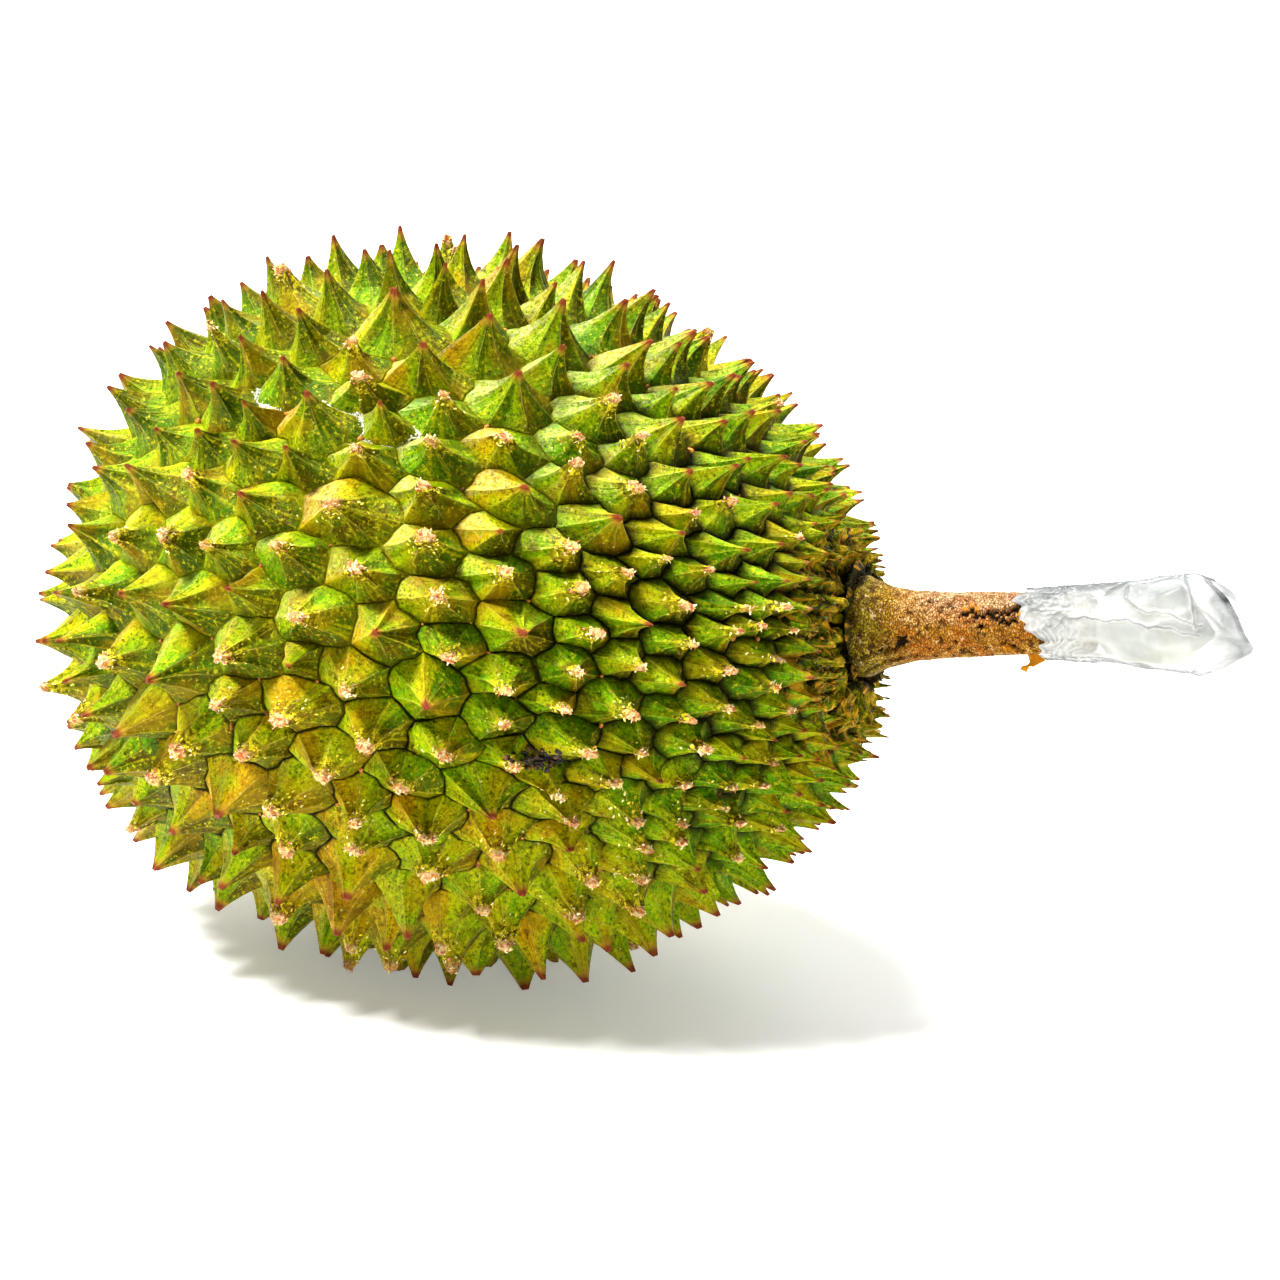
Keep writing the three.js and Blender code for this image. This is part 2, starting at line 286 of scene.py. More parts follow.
def placeOf(tree):
    return addNode(tree, "GeometryNodeInputPosition").outputs[0]


def shifted(tree, mesh, offset):
    return addNode(tree, "GeometryNodeSetPosition", {"Geometry": mesh, "Offset": offset}).outputs[0]


def realized(tree, mesh):
    return addNode(tree, "GeometryNodeRealizeInstances", {0: mesh}).outputs[0]


def smoothed(tree, mesh, smooth=True, domain="FACE", **more):
    sockets = {"Geometry": mesh, "Shade Smooth": smooth, **more}
    return addNode(tree, "GeometryNodeSetShadeSmooth", sockets, domain=domain).outputs[0]


def randomOf(tree, low, high, seed):
    # one random number, or three where low and high have three
    if isinstance(low, tuple):
        sockets = {0: low, 1: high, "Seed": seed}
        return addNode(tree, "FunctionNodeRandomValue", sockets, data_type="FLOAT_VECTOR").outputs[0]
    sockets = {2: low, 3: high, "Seed": seed}
    return addNode(tree, "FunctionNodeRandomValue", sockets, data_type="FLOAT").outputs[1]


def wanderOf(tree, size, detail):
    # noise that moves a point, from -0.5 to 0.5 on each axis, with patches of so many mm
    sockets = {"Scale": 0.5 / (size * mm), "Detail": detail}
    colour = addNode(tree, "ShaderNodeTexNoise", sockets).outputs["Color"]
    return vectors(tree, "SUBTRACT", colour, (0.5, 0.5, 0.5))


def joined(tree, x, y, z):
    return addNode(tree, "ShaderNodeCombineXYZ", {"X": x, "Y": y, "Z": z}).outputs[0]


def named(tree, name, kind="FLOAT"):
    sockets = {"Name": name}
    return addNode(tree, "GeometryNodeInputNamedAttribute", sockets, data_type=kind).outputs["Attribute"]


def kept(tree, mesh, name, value, kind="FLOAT", domain="POINT", **more):
    sockets = {"Geometry": mesh, "Name": name, "Value": value, **more}
    node = addNode(tree, "GeometryNodeStoreNamedAttribute", sockets, data_type=kind, domain=domain)
    return node.outputs[0]


def keptOnFloor(tree, mesh):
    # what reaches below the floor is pressed flat on it
    apart = addNode(tree, "ShaderNodeSeparateXYZ", {0: placeOf(tree)}).outputs
    flat = joined(tree, apart["X"], apart["Y"], larger(tree, apart["Z"], 0.0))
    return addNode(tree, "GeometryNodeSetPosition", {"Geometry": mesh, "Position": flat}).outputs[0]


def placeCamera():
    plan = cameraPlan
    azimuth = math.radians(plan["azimuth"])
    elevation = math.radians(plan["elevation"])
    back = Vector((math.sin(azimuth) * math.cos(elevation), -math.cos(azimuth) * math.cos(elevation),
                   math.sin(elevation)))
    right = Vector((math.cos(azimuth), math.sin(azimuth), 0))
    up = back.cross(right)
    low, high = (Vector(corner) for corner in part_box("husk"))
    data = bpy.data.cameras.new("camera")
    data.lens = plan["lens"]
    data.sensor_width = plan["sensor"]
    data.sensor_fit = "HORIZONTAL"
    data.shift_x = 0.5 - plan["huskAt"][0] / imageSize
    data.shift_y = plan["huskAt"][1] / imageSize - 0.5
    camera = bpy.data.objects.new("camera", data)
    camera.location = (low + high) / 2 + back * plan["distance"]
    camera.rotation_euler = back.to_track_quat("Z", "Y").to_euler()
    bpy.context.scene.collection.objects.link(camera)
    bpy.context.scene.camera = camera
    return camera.location, right, up, back


def placeLights():
    scene = bpy.context.scene
    scene.view_settings.view_transform = "Standard"
    low, high = (Vector(corner) for corner in cadBox)
    middle = (low + high) / 2
    for name, plan in lightPlan.items():
        data = bpy.data.lights.new(name, "AREA")
        data.energy = plan["power"]
        data.size = plan["size"]
        lamp = bpy.data.objects.new(name, data)
        lamp.location = Vector(plan["place"])
        away = lamp.location - Vector(plan.get("aim", middle))
        lamp.rotation_euler = away.to_track_quat("Z", "Y").to_euler()
        scene.collection.objects.link(lamp)
    world = bpy.data.worlds.new("sky")
    world.use_nodes = True
    tree = world.node_tree
    dim = tree.nodes["Background"]
    feed(tree, dim, {"Color": linearColour("#FFFFFF"), "Strength": skyStrength})
    # beyond the board the eye sees plain white, though little light comes from there
    white = addNode(tree, "ShaderNodeBackground", {"Color": linearColour("#FFFFFF"), "Strength": 1.0})
    seen = addNode(tree, "ShaderNodeLightPath").outputs["Is Camera Ray"]
    both = addNode(tree, "ShaderNodeMixShader", {0: seen, 1: dim.outputs[0], 2: white.outputs[0]})
    tree.links.new(both.outputs[0], tree.nodes["World Output"].inputs["Surface"])
    scene.world = world


def layFloor():
    # a sheet of white board that curves up behind
    plan = boardPlan
    behind, bend, n = plan["behind"], plan["bend"], plan["steps"] + 3
    profile = [(-plan["front"], 0)]
    for k in range(plan["steps"] + 1):
        turn = math.pi / 2 * k / plan["steps"]
        profile.append((behind - bend + bend * math.sin(turn), bend - bend * math.cos(turn)))
    profile.append((behind, plan["rise"]))
    points = [(x, y, z) for x in (-plan["side"], plan["side"]) for y, z in profile]
    board = meshObject("floor", points, [(k, n + k, n + k + 1, k + 1) for k in range(n - 1)])
    shadeSmooth(board)
    material, tree, surface, place = blankMaterial("white_board")
    colour = linearColour(plan["colour"])
    feed(tree, surface, {"Base Color": colour, "Roughness": 0.8, "Emission Color": colour,
                         "Emission Strength": plan["glow"]})
    board.data.materials.append(material)


cameraPlace, cameraRight, cameraUp, cameraBack = placeCamera()
placeLights()
layFloor()
print("camera, lights and floor are placed")


# the fruit's own form, in mm
husk = {
    "halfLength": 107,      # of its axis, without the spines
    "radius": 85,
    "stemTaper": 0.16,      # share of its width that is lost at the stem
    "skew": 0.06,           # how far its top leans towards the blossom end
    "stemSag": 5,           # mm that the stem's end lies below the middle, and the blossom's
    "noseSag": 8,
    "lobes": 5,
    "lobeDepth": 0.012,     # share of its radius
    "firstSuture": 0.84,    # radians round the axis
    "restTilt": 4,          # degrees that it lies tilted
    "seatPolar": 0.19,      # radians from the stem that have no spines
    # a spine's width, height and lean, by its angle from the stem
    "widthAt": [[0.2, 5.6], [0.45, 7.8], [0.8, 10.9], [1.25, 14], [2.1, 14.8], [math.pi, 11]],
    "heightAt": [[0.2, 3.2], [0.4, 8], [0.8, 12.6], [1.4, 14.6], [2.2, 13], [math.pi, 8.5]],
    "leanAt": [[0.2, 0.75], [0.8, 0.5], [1.5, 0.12], [2.2, 0], [math.pi, 0]],
    "sutureShortening": 0.24,   # share of its height that a spine beside a seam lacks
    "sutureWidth": 0.15,
    "stretch": 1.6,         # how much longer than wide the cells get near the stem
    "widthSpread": 0.26,    # how unlike the spines are, as a share of their size
    "heightSpread": 0.14,
    "tipWander": 0.1,
    "seed": 7,
    "tipSeed": 11,
    "tries": 16000,
    "most": 2000,           # the most spines that there is room for
    "crowding": 0.8,        # how near two of them may be thrown, as a share of their widths
    "rounds": 40,           # of pushing them apart
    "reach": 1.25,
    "push": 0.3,
}
stem = {
    "end": 60,
    # station and radius
    "profile": [[0, 11.6], [1.3, 12.4], [4.4, 12.4], [7.5, 11], [11, 9.6], [16, 8.6], [24, 8],
                [36, 7.7], [50, 7.5], [58.8, 7.4], [60, 6.6]],
    "unevenness": 0.018,    # share of its radius
    "footSag": 1.8,         # mm that its foot lies below the fruit's axis
    "lift": 3.8,            # degrees that it rises at its foot
    "droop": 3,             # and bends down again by its end
    "seatDepth": 3.4,       # mm that its foot is sunk into the fruit
}
film = {
    "start": 44.5,          # its station on the stem
    "length": 48,
    "wall": 0.7,
    "halfHeightAt": [[0, 8.7], [8, 9], [20, 9.8], [32, 10.7], [38, 11], [43, 10.6], [48, 8.4]],
    "halfDepthAt": [[0, 8.7], [8, 8.9], [20, 9.5], [32, 9.8], [38, 7.8], [43, 4.4], [48, 1.5]],
    "rimSlant": 3,          # mm that its rim is slanted, and wavy
    "raggedness": 1.2,
    "wadFrom": 16.1,        # the wad's own stations inside it
    "wadLength": 25,
}


def seededRandom(seed):
    state = seed

    def draw():
        nonlocal state
        state = (state * 1664525 + 1013904223) % 2 ** 32
        return state / 2 ** 32

    return draw


def atStation(table, x):
    stations = np.asarray(table, dtype=float)
    return np.interp(x, stations[:, 0], stations[:, 1])


def smoothStep(low, high, x):
    share = np.clip((x - low) / (high - low), 0, 1)
    return share * share * (3 - 2 * share)


def waves(table, x):
    # sines laid over one another: height, rate and start of each
    return sum(height * np.sin(rate * x + start) for height, rate, start in table)


def huskPoints(polar, around):
    # the bare husk, its axis along X
    wave = np.cos(husk["lobes"] * (around - husk["firstSuture"]))
    lobe = 1 - husk["lobeDepth"] * wave * np.sin(polar) ** 2
    taper = 1 - husk["stemTaper"] * ((1 + np.cos(polar)) / 2) ** 3
    radius = husk["radius"] * taper * lobe * np.sin(polar)
    height = radius * np.cos(around)
    along = husk["halfLength"] * np.cos(polar) - husk["skew"] * height
    sag = np.where(polar < math.pi / 2, husk["stemSag"], husk["noseSag"]) * np.cos(polar) ** 2
    return np.stack([along, -radius * np.sin(around), height - sag], 1)


def huskPolar(ballPolar):
    return math.pi * (ballPolar / math.pi) ** husk["stretch"]


def onHusk(directions):
    directions = directions / np.linalg.norm(directions, axis=1)[:, None]
    ballPolar = np.arccos(np.clip(directions[:, 0], -1, 1))
    return huskPoints(huskPolar(ballPolar), np.arctan2(-directions[:, 1], directions[:, 2]))


def polarOf(points):
    return np.arccos(np.clip((points[:, 0] + husk["skew"] * points[:, 2]) / husk["halfLength"], -1, 1))


def ballSpacing(ballPolar):
    polar = huskPolar(ballPolar)
    easing = husk["stretch"] * (ballPolar / math.pi) ** (husk["stretch"] - 1)
    alongMeridian = math.hypot(husk["halfLength"] * math.sin(polar), husk["radius"] * math.cos(polar))
    alongMeridian *= easing
    alongParallel = husk["radius"] * math.sin(polar) / math.sin(ballPolar)
    return atStation(husk["widthAt"], polar) / math.sqrt(alongMeridian * alongParallel)


def growSeeds():
    # thrown at random, kept where there is room, then pushed apart
    draw = seededRandom(husk["seed"])
    seatBall = math.pi * (husk["seatPolar"] / math.pi) ** (1 / husk["stretch"])
    seeds = np.zeros((husk["most"], 3))
    spacing = np.zeros(husk["most"])
    seeds[0] = (1, 0, 0)
    spacing[0] = 2 * seatBall
    count = 1
    for _ in range(husk["tries"]):
        cosine = 1 - 2 * draw()
        around = 2 * math.pi * draw()
        spread = 1 + husk["widthSpread"] * (2 * draw() - 1)
        sine = math.sqrt(1 - cosine * cosine)
        place = np.array([cosine, -sine * math.sin(around), sine * math.cos(around)])
        wanted = ballSpacing(math.acos(cosine)) * spread
        apart = np.linalg.norm(seeds[:count] - place, axis=1)
        if np.all(apart > husk["crowding"] * 0.5 * (spacing[:count] + wanted)):
            seeds[count] = place
            spacing[count] = wanted
            count += 1
    seeds, spacing = seeds[:count], spacing[:count]
    wanted = husk["reach"] * 0.5 * (spacing[:, None] + spacing[None])
    np.fill_diagonal(wanted, 0)
    for _ in range(husk["rounds"]):
        offset = seeds[:, None] - seeds[None]
        apart = np.linalg.norm(offset, axis=2) + np.eye(count)
        push = np.where(apart < wanted, husk["push"] * (wanted - apart) / apart, 0)
        moved = seeds + (offset * push[:, :, None]).sum(axis=1)
        moved /= np.linalg.norm(moved, axis=1)[:, None]
        moved[0] = seeds[0]
        seeds = moved
    return seeds


def huskNormals(points):
    normals = points / np.array([husk["halfLength"], husk["radius"], husk["radius"]]) ** 2
    return normals / np.linalg.norm(normals, axis=1)[:, None]


def nearSuture(points):
    around = np.arctan2(-points[:, 1], points[:, 2]) - husk["firstSuture"]
    lobeAngle = 2 * math.pi / husk["lobes"]
    off = around - lobeAngle * np.floor(around / lobeAngle + 0.5)
    return np.exp(-(off / husk["sutureWidth"]) ** 2)


def growTips(feet):
    # feet[0] is the bare seat round the stem
    draw = seededRandom(husk["tipSeed"])
    polar = polarOf(feet)
    suture = nearSuture(feet)
    normals = huskNormals(feet)
    tips = feet.copy()
    heights = np.zeros(len(feet))
    for i in range(1, len(feet)):
        grown = 1 + husk["heightSpread"] * (2 * draw() - 1)
        heights[i] = atStation(husk["heightAt"], polar[i]) * grown
        heights[i] *= 1 - husk["sutureShortening"] * suture[i]
        stray = atStation(husk["widthAt"], polar[i]) * husk["tipWander"]
        direction = normals[i] + np.array([atStation(husk["leanAt"], polar[i]), 0, 0])
        wander = np.array([stray * (2 * draw() - 1) for _ in range(3)])
        tips[i] = feet[i] + heights[i] * direction / np.linalg.norm(direction) + wander
    return tips, heights, polar, normals


tilt = math.radians(husk["restTilt"])
layDown = np.array([
    [math.cos(tilt), 0, -math.sin(tilt)],
    [0, 1, 0],
    [math.sin(tilt), 0, math.cos(tilt)],
])

seeds = growSeeds()
feet = onHusk(seeds)
tips, heights, polars, normals = growTips(feet)
laidTips = tips[1:] @ layDown.T
huskLow, huskHigh = (np.array(corner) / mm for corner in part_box("husk"))
shift = np.array([
    huskLow[0] - laidTips[:, 0].min(),
    huskLow[1] - laidTips[:, 1].min(),
    huskHigh[2] - laidTips[:, 2].max(),
])


def toRow(points):
    # from the fruit's own space in mm to the row frame in metres
    return (np.asarray(points) @ layDown.T + shift) * mm


print("the fruit has", len(seeds) - 1, "spines")


def besideStem(along, angle, halfHeight, halfDepth=None):
    # angle 0 is the top, and a quarter turn is the back
    halfDepth = halfHeight if halfDepth is None else halfDepth
    along, angle, halfHeight, halfDepth = np.broadcast_arrays(along, angle, halfHeight, halfDepth)
    bend = math.radians(stem["droop"]) / (film["start"] + film["length"])
    slope = math.radians(stem["lift"]) - bend * along
    rise = math.radians(stem["lift"]) * along - bend * along ** 2 / 2 - stem["footSag"]
    x = husk["halfLength"] - stem["seatDepth"] + along - np.sin(slope) * halfHeight * np.cos(angle)
    y = halfDepth * np.sin(angle)
    z = rise + np.cos(slope) * halfHeight * np.cos(angle)
    return np.stack([x, y, z], -1)


def stemFoot():
    # the middle of the stem's foot, in the row frame
    return tuple(toRow(besideStem(0.0, 0.0, 0.0)))


def signedAngle(angle):
    # from -pi to pi
    return (angle + math.pi) % (2 * math.pi) - math.pi


def tubeGrid(length, steps, around):
    # station, angle and signed angle of every point of a tube, ring after ring
    along = np.linspace(0, length, steps + 1)
    angle = 2 * math.pi * np.arange(around) / around
    along, angle = (grid.ravel() for grid in np.meshgrid(along, angle, indexing="ij"))
    return along, angle, signedAngle(angle)


def rayThrough(x, y):
    # a pixel's ray, from the camera's place
    scale = cameraPlan["sensor"] / cameraPlan["lens"] / imageSize
    across = (x - cameraPlan["huskAt"][0]) * scale
    down = (y - cameraPlan["huskAt"][1]) * scale
    return (cameraRight * across - cameraUp * down - cameraBack).normalized()


# spiny husk
rind = {
    "cellSeed": 3,
    "sideParts": 3,         # pieces that each side of a cell is drawn in
    "sideBow": 0.07,        # how far a side strays from straight, by its length
    "cornerWander": 0.011,  # how far a corner strays, by the fruit's own radius
    # width of a spine, as a share of its foot's, by its height
    "flankProfile": [(0, 1), (0.05, 0.94), (0.2, 0.75), (0.42, 0.5), (0.65, 0.3), (0.88, 0.13), (1, 0.05)],
    "ringRises": [0.02, 0.12, 0.3, 0.5, 0.72, 0.9, 1.0],
    "grooveDepth": 0.3,     # mm that the line between two spines is sunk
    "grooveWander": 0.9,    # mm that this line wavers
    "wanderSize": 2.6,      # mm, length of these waves
    "rounding": 0.03,       # how far the corners of a cell are drawn in above its foot
    "scoop": 0.2,           # how deep the flanks are hollowed between their ridges
    "ridgeSpread": 0.9,     # how unlike each other the ridges of one spine are
    "ridgeChange": 0.75,    # how fast that changes round a spine
    "spineChange": 731.0,   # and per metre, so that no two spines are alike
    "slenderness": 0.22,    # how much more hollow the slender spines are
    "slenderAtStem": 0.7,   # and how much of that the ones near the stem have
    "tipWidth": 0.025,      # width of any tip, as a share of its foot
    "bluntness": 0.09,      # and how much more a worn one has
    "bow": 0.12,            # how far a spine bows out before it bends to its tip, by its height
    "tipReach": 0.98,
    "unevenness": 1.1,      # mm
    "unevennessSize": 6.0,  # mm
    "tearing": 2.4,         # mm, roughness of the scab round the stem
    "strips": 5.0,          # how narrow its torn strips are
    "stripLength": 14,      # mm
    "stripEdge": 0.14,      # how soft their edges are
    "sharpAngle": 17,       # degrees, past which a ridge stays crisp
    # the side that the sunlight and the lamps' light come from: flanks facing it are yellower, the others get
    # painted shade
    "sunAndLightFrom": (-0.75, -0.25, 0.6),
    "sunAndLightEvenness": 0.7,     # how little it matters on which side of the fruit a flank is
    # the bare seat round the stem: radius and height of its rings
    "seatRings": [[15.8, 0.1], [15.1, 0.3], [14.5, -0.2], [14.0, -1.2], [12.8, -3.4], [7.0, -3.7],
                  [0.0, -3.7]],
    "seatWaver": 0.1,       # mm up and down that they waver
    "seatStray": 0.5,       # mm in and out, at the rim
    "seatRim": 14,          # the least radius that is still the rim
    "seatSeed": 23,
    "footShadeTo": (16.2, 17.6),    # mm from the middle of the stem's foot, over which the painted shade in the groove round it ends
    "wornLoss": 0.12,       # share of its height that a worn spine has lost
    "scabLoss": 0.6,        # the most that one in the scab has lost
    "seatLoss": 0.7,        # the least that one beside the stem has lost
    "wornBend": 1.3,        # mm that its tip is pushed over
    "wornShare": 0.75,      # of the spines on the rubbed side
    "elsewhere": 0.08,      # and of the others
    "wearRange": (0.4, 1),
    "wearSeed": 5,
    "rubbedSide": (0.3, -0.95, 0.0),
    "rubbedEnds": (0.5, 0.85),  # from where to where the rubbing sets in
    # the lit, sunward side: its spines are more slender, and it gets the painted glare and lighter grooves
    "paleSide": (-0.5, -0.25, 0.83),
    "paleEnds": (0.15, 0.75),
    # angles from the stem, in radians, between which each of these begins or ends
    "wornFrom": (0.35, 0.6),
    "slenderTo": (0.7, 1.2),
    "scabLossTo": (0.3, 0.5),
    "seatLossTo": (0.24, 0.33),
    "scabTo": (0.26, 0.52),
    "shadeTo": (0.7, 1.45),
    # colours from green to ripe, and of the scab
    "ripening": [(0.0, "#4A8800"), (0.22, "#72A400"), (0.42, "#96B000"), (0.6, "#B0B000"), (0.78, "#C8A000"),
                 (0.92, "#C48400"), (1.0, "#A05C00")],
    "cork": [(0.4, "#080700"), (0.47, "#343000"), (0.54, "#5E6400"), (0.62, "#8C8204"), (0.7, "#D8A034")],
    "sheen": "#E4EA70",
}


def cellNet():
    # the net of cells: each seed of the ball's hull becomes one cell of its dual
    tree, given, end = newTree("cell_net")
    hull = addNode(tree, "GeometryNodeConvexHull", {0: given["Geometry"]})
    dual = addNode(tree, "GeometryNodeDualMesh", {0: hull.outputs[0]})
    tree.links.new(realized(tree, dual.outputs[0]), end.inputs[0])
    return runTree(meshObject("cells", seeds, []), tree, {})


def drawCells(net):
    # the cells' outlines on the ball, each side bent and drawn in a few pieces
    rng = np.random.default_rng(rind["cellSeed"])
    places = np.zeros(len(net.data.vertices) * 3)
    net.data.vertices.foreach_get("co", places)
    places = places.reshape(-1, 3)
    places = places + rng.uniform(-1, 1, places.shape) * rind["cornerWander"]
    points = list(places)
    mids = [0.0] * len(points)  # 0 at a corner, 1 half way along a side
    sides = {}
    rings = []
    parts = rind["sideParts"]
    for polygon in net.data.polygons:
        ring = []
        corners = list(polygon.vertices)
        for a, b in zip(corners, corners[1:] + corners[:1]):
            low, high = min(a, b), max(a, b)
            if (low, high) not in sides:
                reach = places[high] - places[low]
                sideways = np.cross((places[low] + places[high]) / 2, reach)
                arc, wave = rng.normal(size=2) * rind["sideBow"]
                sides[low, high] = list(range(len(points), len(points) + parts - 1))
                for k in range(1, parts):
                    t = k / parts
                    mid = 4 * t * (1 - t)
                    bend = mid * arc + 0.5 * math.sin(2 * math.pi * t) * wave
                    points.append(places[low] + reach * t + sideways * bend)
                    mids.append(mid)
            between = sides[low, high]
            ring += [a] + (between if a == low else between[::-1])
        middle = places[corners].mean(axis=0)
        middle /= np.linalg.norm(middle)
        rings.append((int(np.argmin(((seeds - middle) ** 2).sum(axis=1))), ring))
    return np.array(points), mids, rings, places


def seatRings(ring, corners, points, faces):
    # the bare seat: rings from its border down into the groove round the stem's foot
    border = corners[ring]
    angle = np.arctan2(border[:, 1], border[:, 2] + stem["footSag"])
    previous = list(ring)
    draw = seededRandom(rind["seatSeed"])
    for radius, height in rind["seatRings"]:
        ragged = np.array([draw() - 0.5 for _ in ring])
        depth = stem["seatDepth"] + height + ragged * rind["seatWaver"]
        reach = radius + ragged * (rind["seatStray"] if radius > rind["seatRim"] else 0)
        loop = besideStem(depth, angle, reach)
        if not radius:
            loop = besideStem([depth.mean()], 0.0, 0.0)
        first = len(points)
        points.extend(loop)
        current = [first + k for k in range(len(loop))]
        for k in range(len(ring)):
            after = (k + 1) % len(ring)
            inner = (current[0],) if len(current) == 1 else (current[after], current[k])
            faces.append((previous[k], previous[after], *inner))
        previous = current


def profileCurve(tree, value, table):
    # a smooth curve through the points of a table
    node = addNode(tree, "ShaderNodeFloatCurve", {"Value": value})
    curve = node.mapping.curves[0]
    for place in table[1:-1]:
        curve.points.new(*place)
    curve.points[0].location = table[0]
    curve.points[len(table) - 1].location = table[-1]
    node.mapping.update()
    return node.outputs[0]


def spineTree(material):
    tree, given, end = newTree("spines", "Rounding", "Scoop", "Ridge Spread", "Unevenness", "Unevenness Size",
                               "Tearing", "Sharp Angle", "Groove Depth", "Groove Wander", "Slenderness",
                               "Tip Width", "Bluntness")
    mesh = kept(tree, given["Geometry"], "corner", placeOf(tree), "FLOAT_VECTOR")
    mesh = kept(tree, mesh, "rise", 0.0)
    top = named(tree, "spiny", "BOOLEAN")
    for rise in rind["ringRises"]:
        # every cell is drawn out one ring further
        sockets = {"Mesh": mesh, "Selection": top, "Offset Scale": 0.0, "Individual": True}
        raised = addNode(tree, "GeometryNodeExtrudeMesh", sockets, mode="FACES")
        top = raised.outputs["Top"]
        mesh = kept(tree, raised.outputs["Mesh"], "rise", rise, Selection=top)
    rise, foot, mid = named(tree, "rise"), named(tree, "foot", "FLOAT_VECTOR"), named(tree, "mid")
    outwards = vectors(tree, "SUBTRACT", named(tree, "corner", "FLOAT_VECTOR"), foot)
    # above its foot a cell is rounder, and higher up the flanks are hollow between the ridges
    drawnIn = times(tree, minus(tree, 1.0, mid), given["Rounding"], remap(tree, rise, 0.0, 0.03),
                    remap(tree, rise, 0.1, 0.4, 1.0, 0.0))
    hollow = times(tree, mid, given["Scoop"], remap(tree, rise, 0.05, 0.35))
    # some ridges of a spine are strong and others all but missing
    side = vectors(tree, "SCALE", vectors(tree, "NORMALIZE", outwards), scale=rind["ridgeChange"])
    where = vectors(tree, "ADD", side, vectors(tree, "SCALE", foot, scale=rind["spineChange"]))
    sockets = {"Vector": where, "Scale": 1.0, "Detail": 0.0}
    facet = addNode(tree, "ShaderNodeTexNoise", sockets).outputs["Fac"]
    mesh = kept(tree, mesh, "facet", facet)
    ridge = times(tree, minus(tree, facet, 0.5), given["Ridge Spread"])
    ridge = added(tree, 1.0, ridge, remap(tree, rise, 0.0, 0.4))
    power = added(tree, 1.0, named(tree, "slender"), given["Slenderness"])
    blunt = times(tree, named(tree, "wear"), given["Bluntness"], remap(tree, rise, 0.5, 0.9))
    blunt = added(tree, blunt, times(tree, rise, rise), given["Tip Width"])
    width = maths(tree, "POWER", profileCurve(tree, rise, rind["flankProfile"]), power)
    width = maths(tree, "ADD", width, blunt)
    width = times(tree, width, minus(tree, minus(tree, ridge, hollow), drawnIn))
    upwards = vectors(tree, "SUBTRACT", named(tree, "tip", "FLOAT_VECTOR"), foot)
    total = foot
    for part, share in (
        (upwards, times(tree, rise, rind["tipReach"])),
        (named(tree, "bow", "FLOAT_VECTOR"), times(tree, minus(tree, 1.0, rise), rise)),
        (outwards, width),
    ):
        total = vectors(tree, "ADD", total, vectors(tree, "SCALE", part, scale=share))
    spiny = named(tree, "spines")
    sockets = {"Geometry": mesh, "Selection": above(tree, spiny, 0.5), "Position": total}
    mesh = addNode(tree, "GeometryNodeSetPosition", sockets).outputs[0]
    # slow unevenness, so that no flank is quite flat
    size = maths(tree, "DIVIDE", 0.5, given["Unevenness Size"])
    uneven = addNode(tree, "ShaderNodeTexNoise", {"Scale": size, "Detail": 2.0}).outputs["Fac"]
    uneven = times(tree, minus(tree, uneven, 0.5), given["Unevenness"], remap(tree, rise, 0.4, 0.9, 1.0, 0.0))
    # torn where it is scabby, into strips that run away from the stem
    fromFoot = vectors(tree, "SUBTRACT", placeOf(tree), stemFoot())
    away = addNode(tree, "ShaderNodeSeparateXYZ", {0: fromFoot}).outputs
    around = maths(tree, "ARCTAN2", away["Y"], away["Z"])
    reach = maths(tree, "SQRT", added(tree, times(tree, away["Z"], away["Z"]), away["Y"], away["Y"]))
    across, outward = times(tree, around, rind["strips"]), times(tree, reach, 1 / (rind["stripLength"] * mm))
    sockets = {"Vector": joined(tree, across, outward, 0.0), "Scale": 1.0, "Detail": 2.0, "Distortion": 0.6}
    torn = addNode(tree, "ShaderNodeTexNoise", sockets).outputs["Fac"]
    torn = remap(tree, maths(tree, "ABSOLUTE", minus(tree, torn, 0.5)), 0.0, rind["stripEdge"], 0.5, -0.5)
    mesh = kept(tree, mesh, "strip", torn)
    uneven = added(tree, uneven, times(tree, torn, named(tree, "scab")), given["Tearing"])
    # a groove where two spines meet, which wavers
    sunk = times(tree, remap(tree, rise, 0.0, 0.02, 1.0, 0.0), given["Groove Depth"])
    offset = minus(tree, uneven, times(tree, sunk, spiny))
    normal = addNode(tree, "GeometryNodeInputNormal").outputs[0]
    mesh = shifted(tree, mesh, vectors(tree, "SCALE", normal, scale=offset))
    low = times(tree, remap(tree, rise, 0.0, 0.6, 2.0, 0.0), given["Groove Wander"])
    stray = vectors(tree, "SCALE", wanderOf(tree, rind["wanderSize"], 1.0), scale=times(tree, low, spiny))
    mesh = keptOnFloor(tree, shifted(tree, mesh, stray))
    # flanks that face the blossom end and the sky had the sunlight; the lamps light them too, so this measure
    # also drives painted shade and a painted glare on the rind
    low, high = (Vector(corner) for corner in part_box("husk"))
    straight = vectors(tree, "NORMALIZE", vectors(tree, "SUBTRACT", foot, tuple((low + high) / 2)))
    leaning = vectors(tree, "SUBTRACT", addNode(tree, "GeometryNodeInputNormal").outputs[0],
                      vectors(tree, "SCALE", straight, scale=rind["sunAndLightEvenness"]))
    mesh = kept(tree, mesh, "sunAndLight", vectors(tree, "DOT_PRODUCT", leaning, rind["sunAndLightFrom"]))
    turn = addNode(tree, "GeometryNodeInputMeshEdgeAngle").outputs["Unsigned Angle"]
    crisp = above(tree, turn, given["Sharp Angle"])
    mesh = smoothed(tree, smoothed(tree, mesh), False, "EDGE", Selection=crisp)
    return endTree(tree, end, realized(tree, mesh), material)


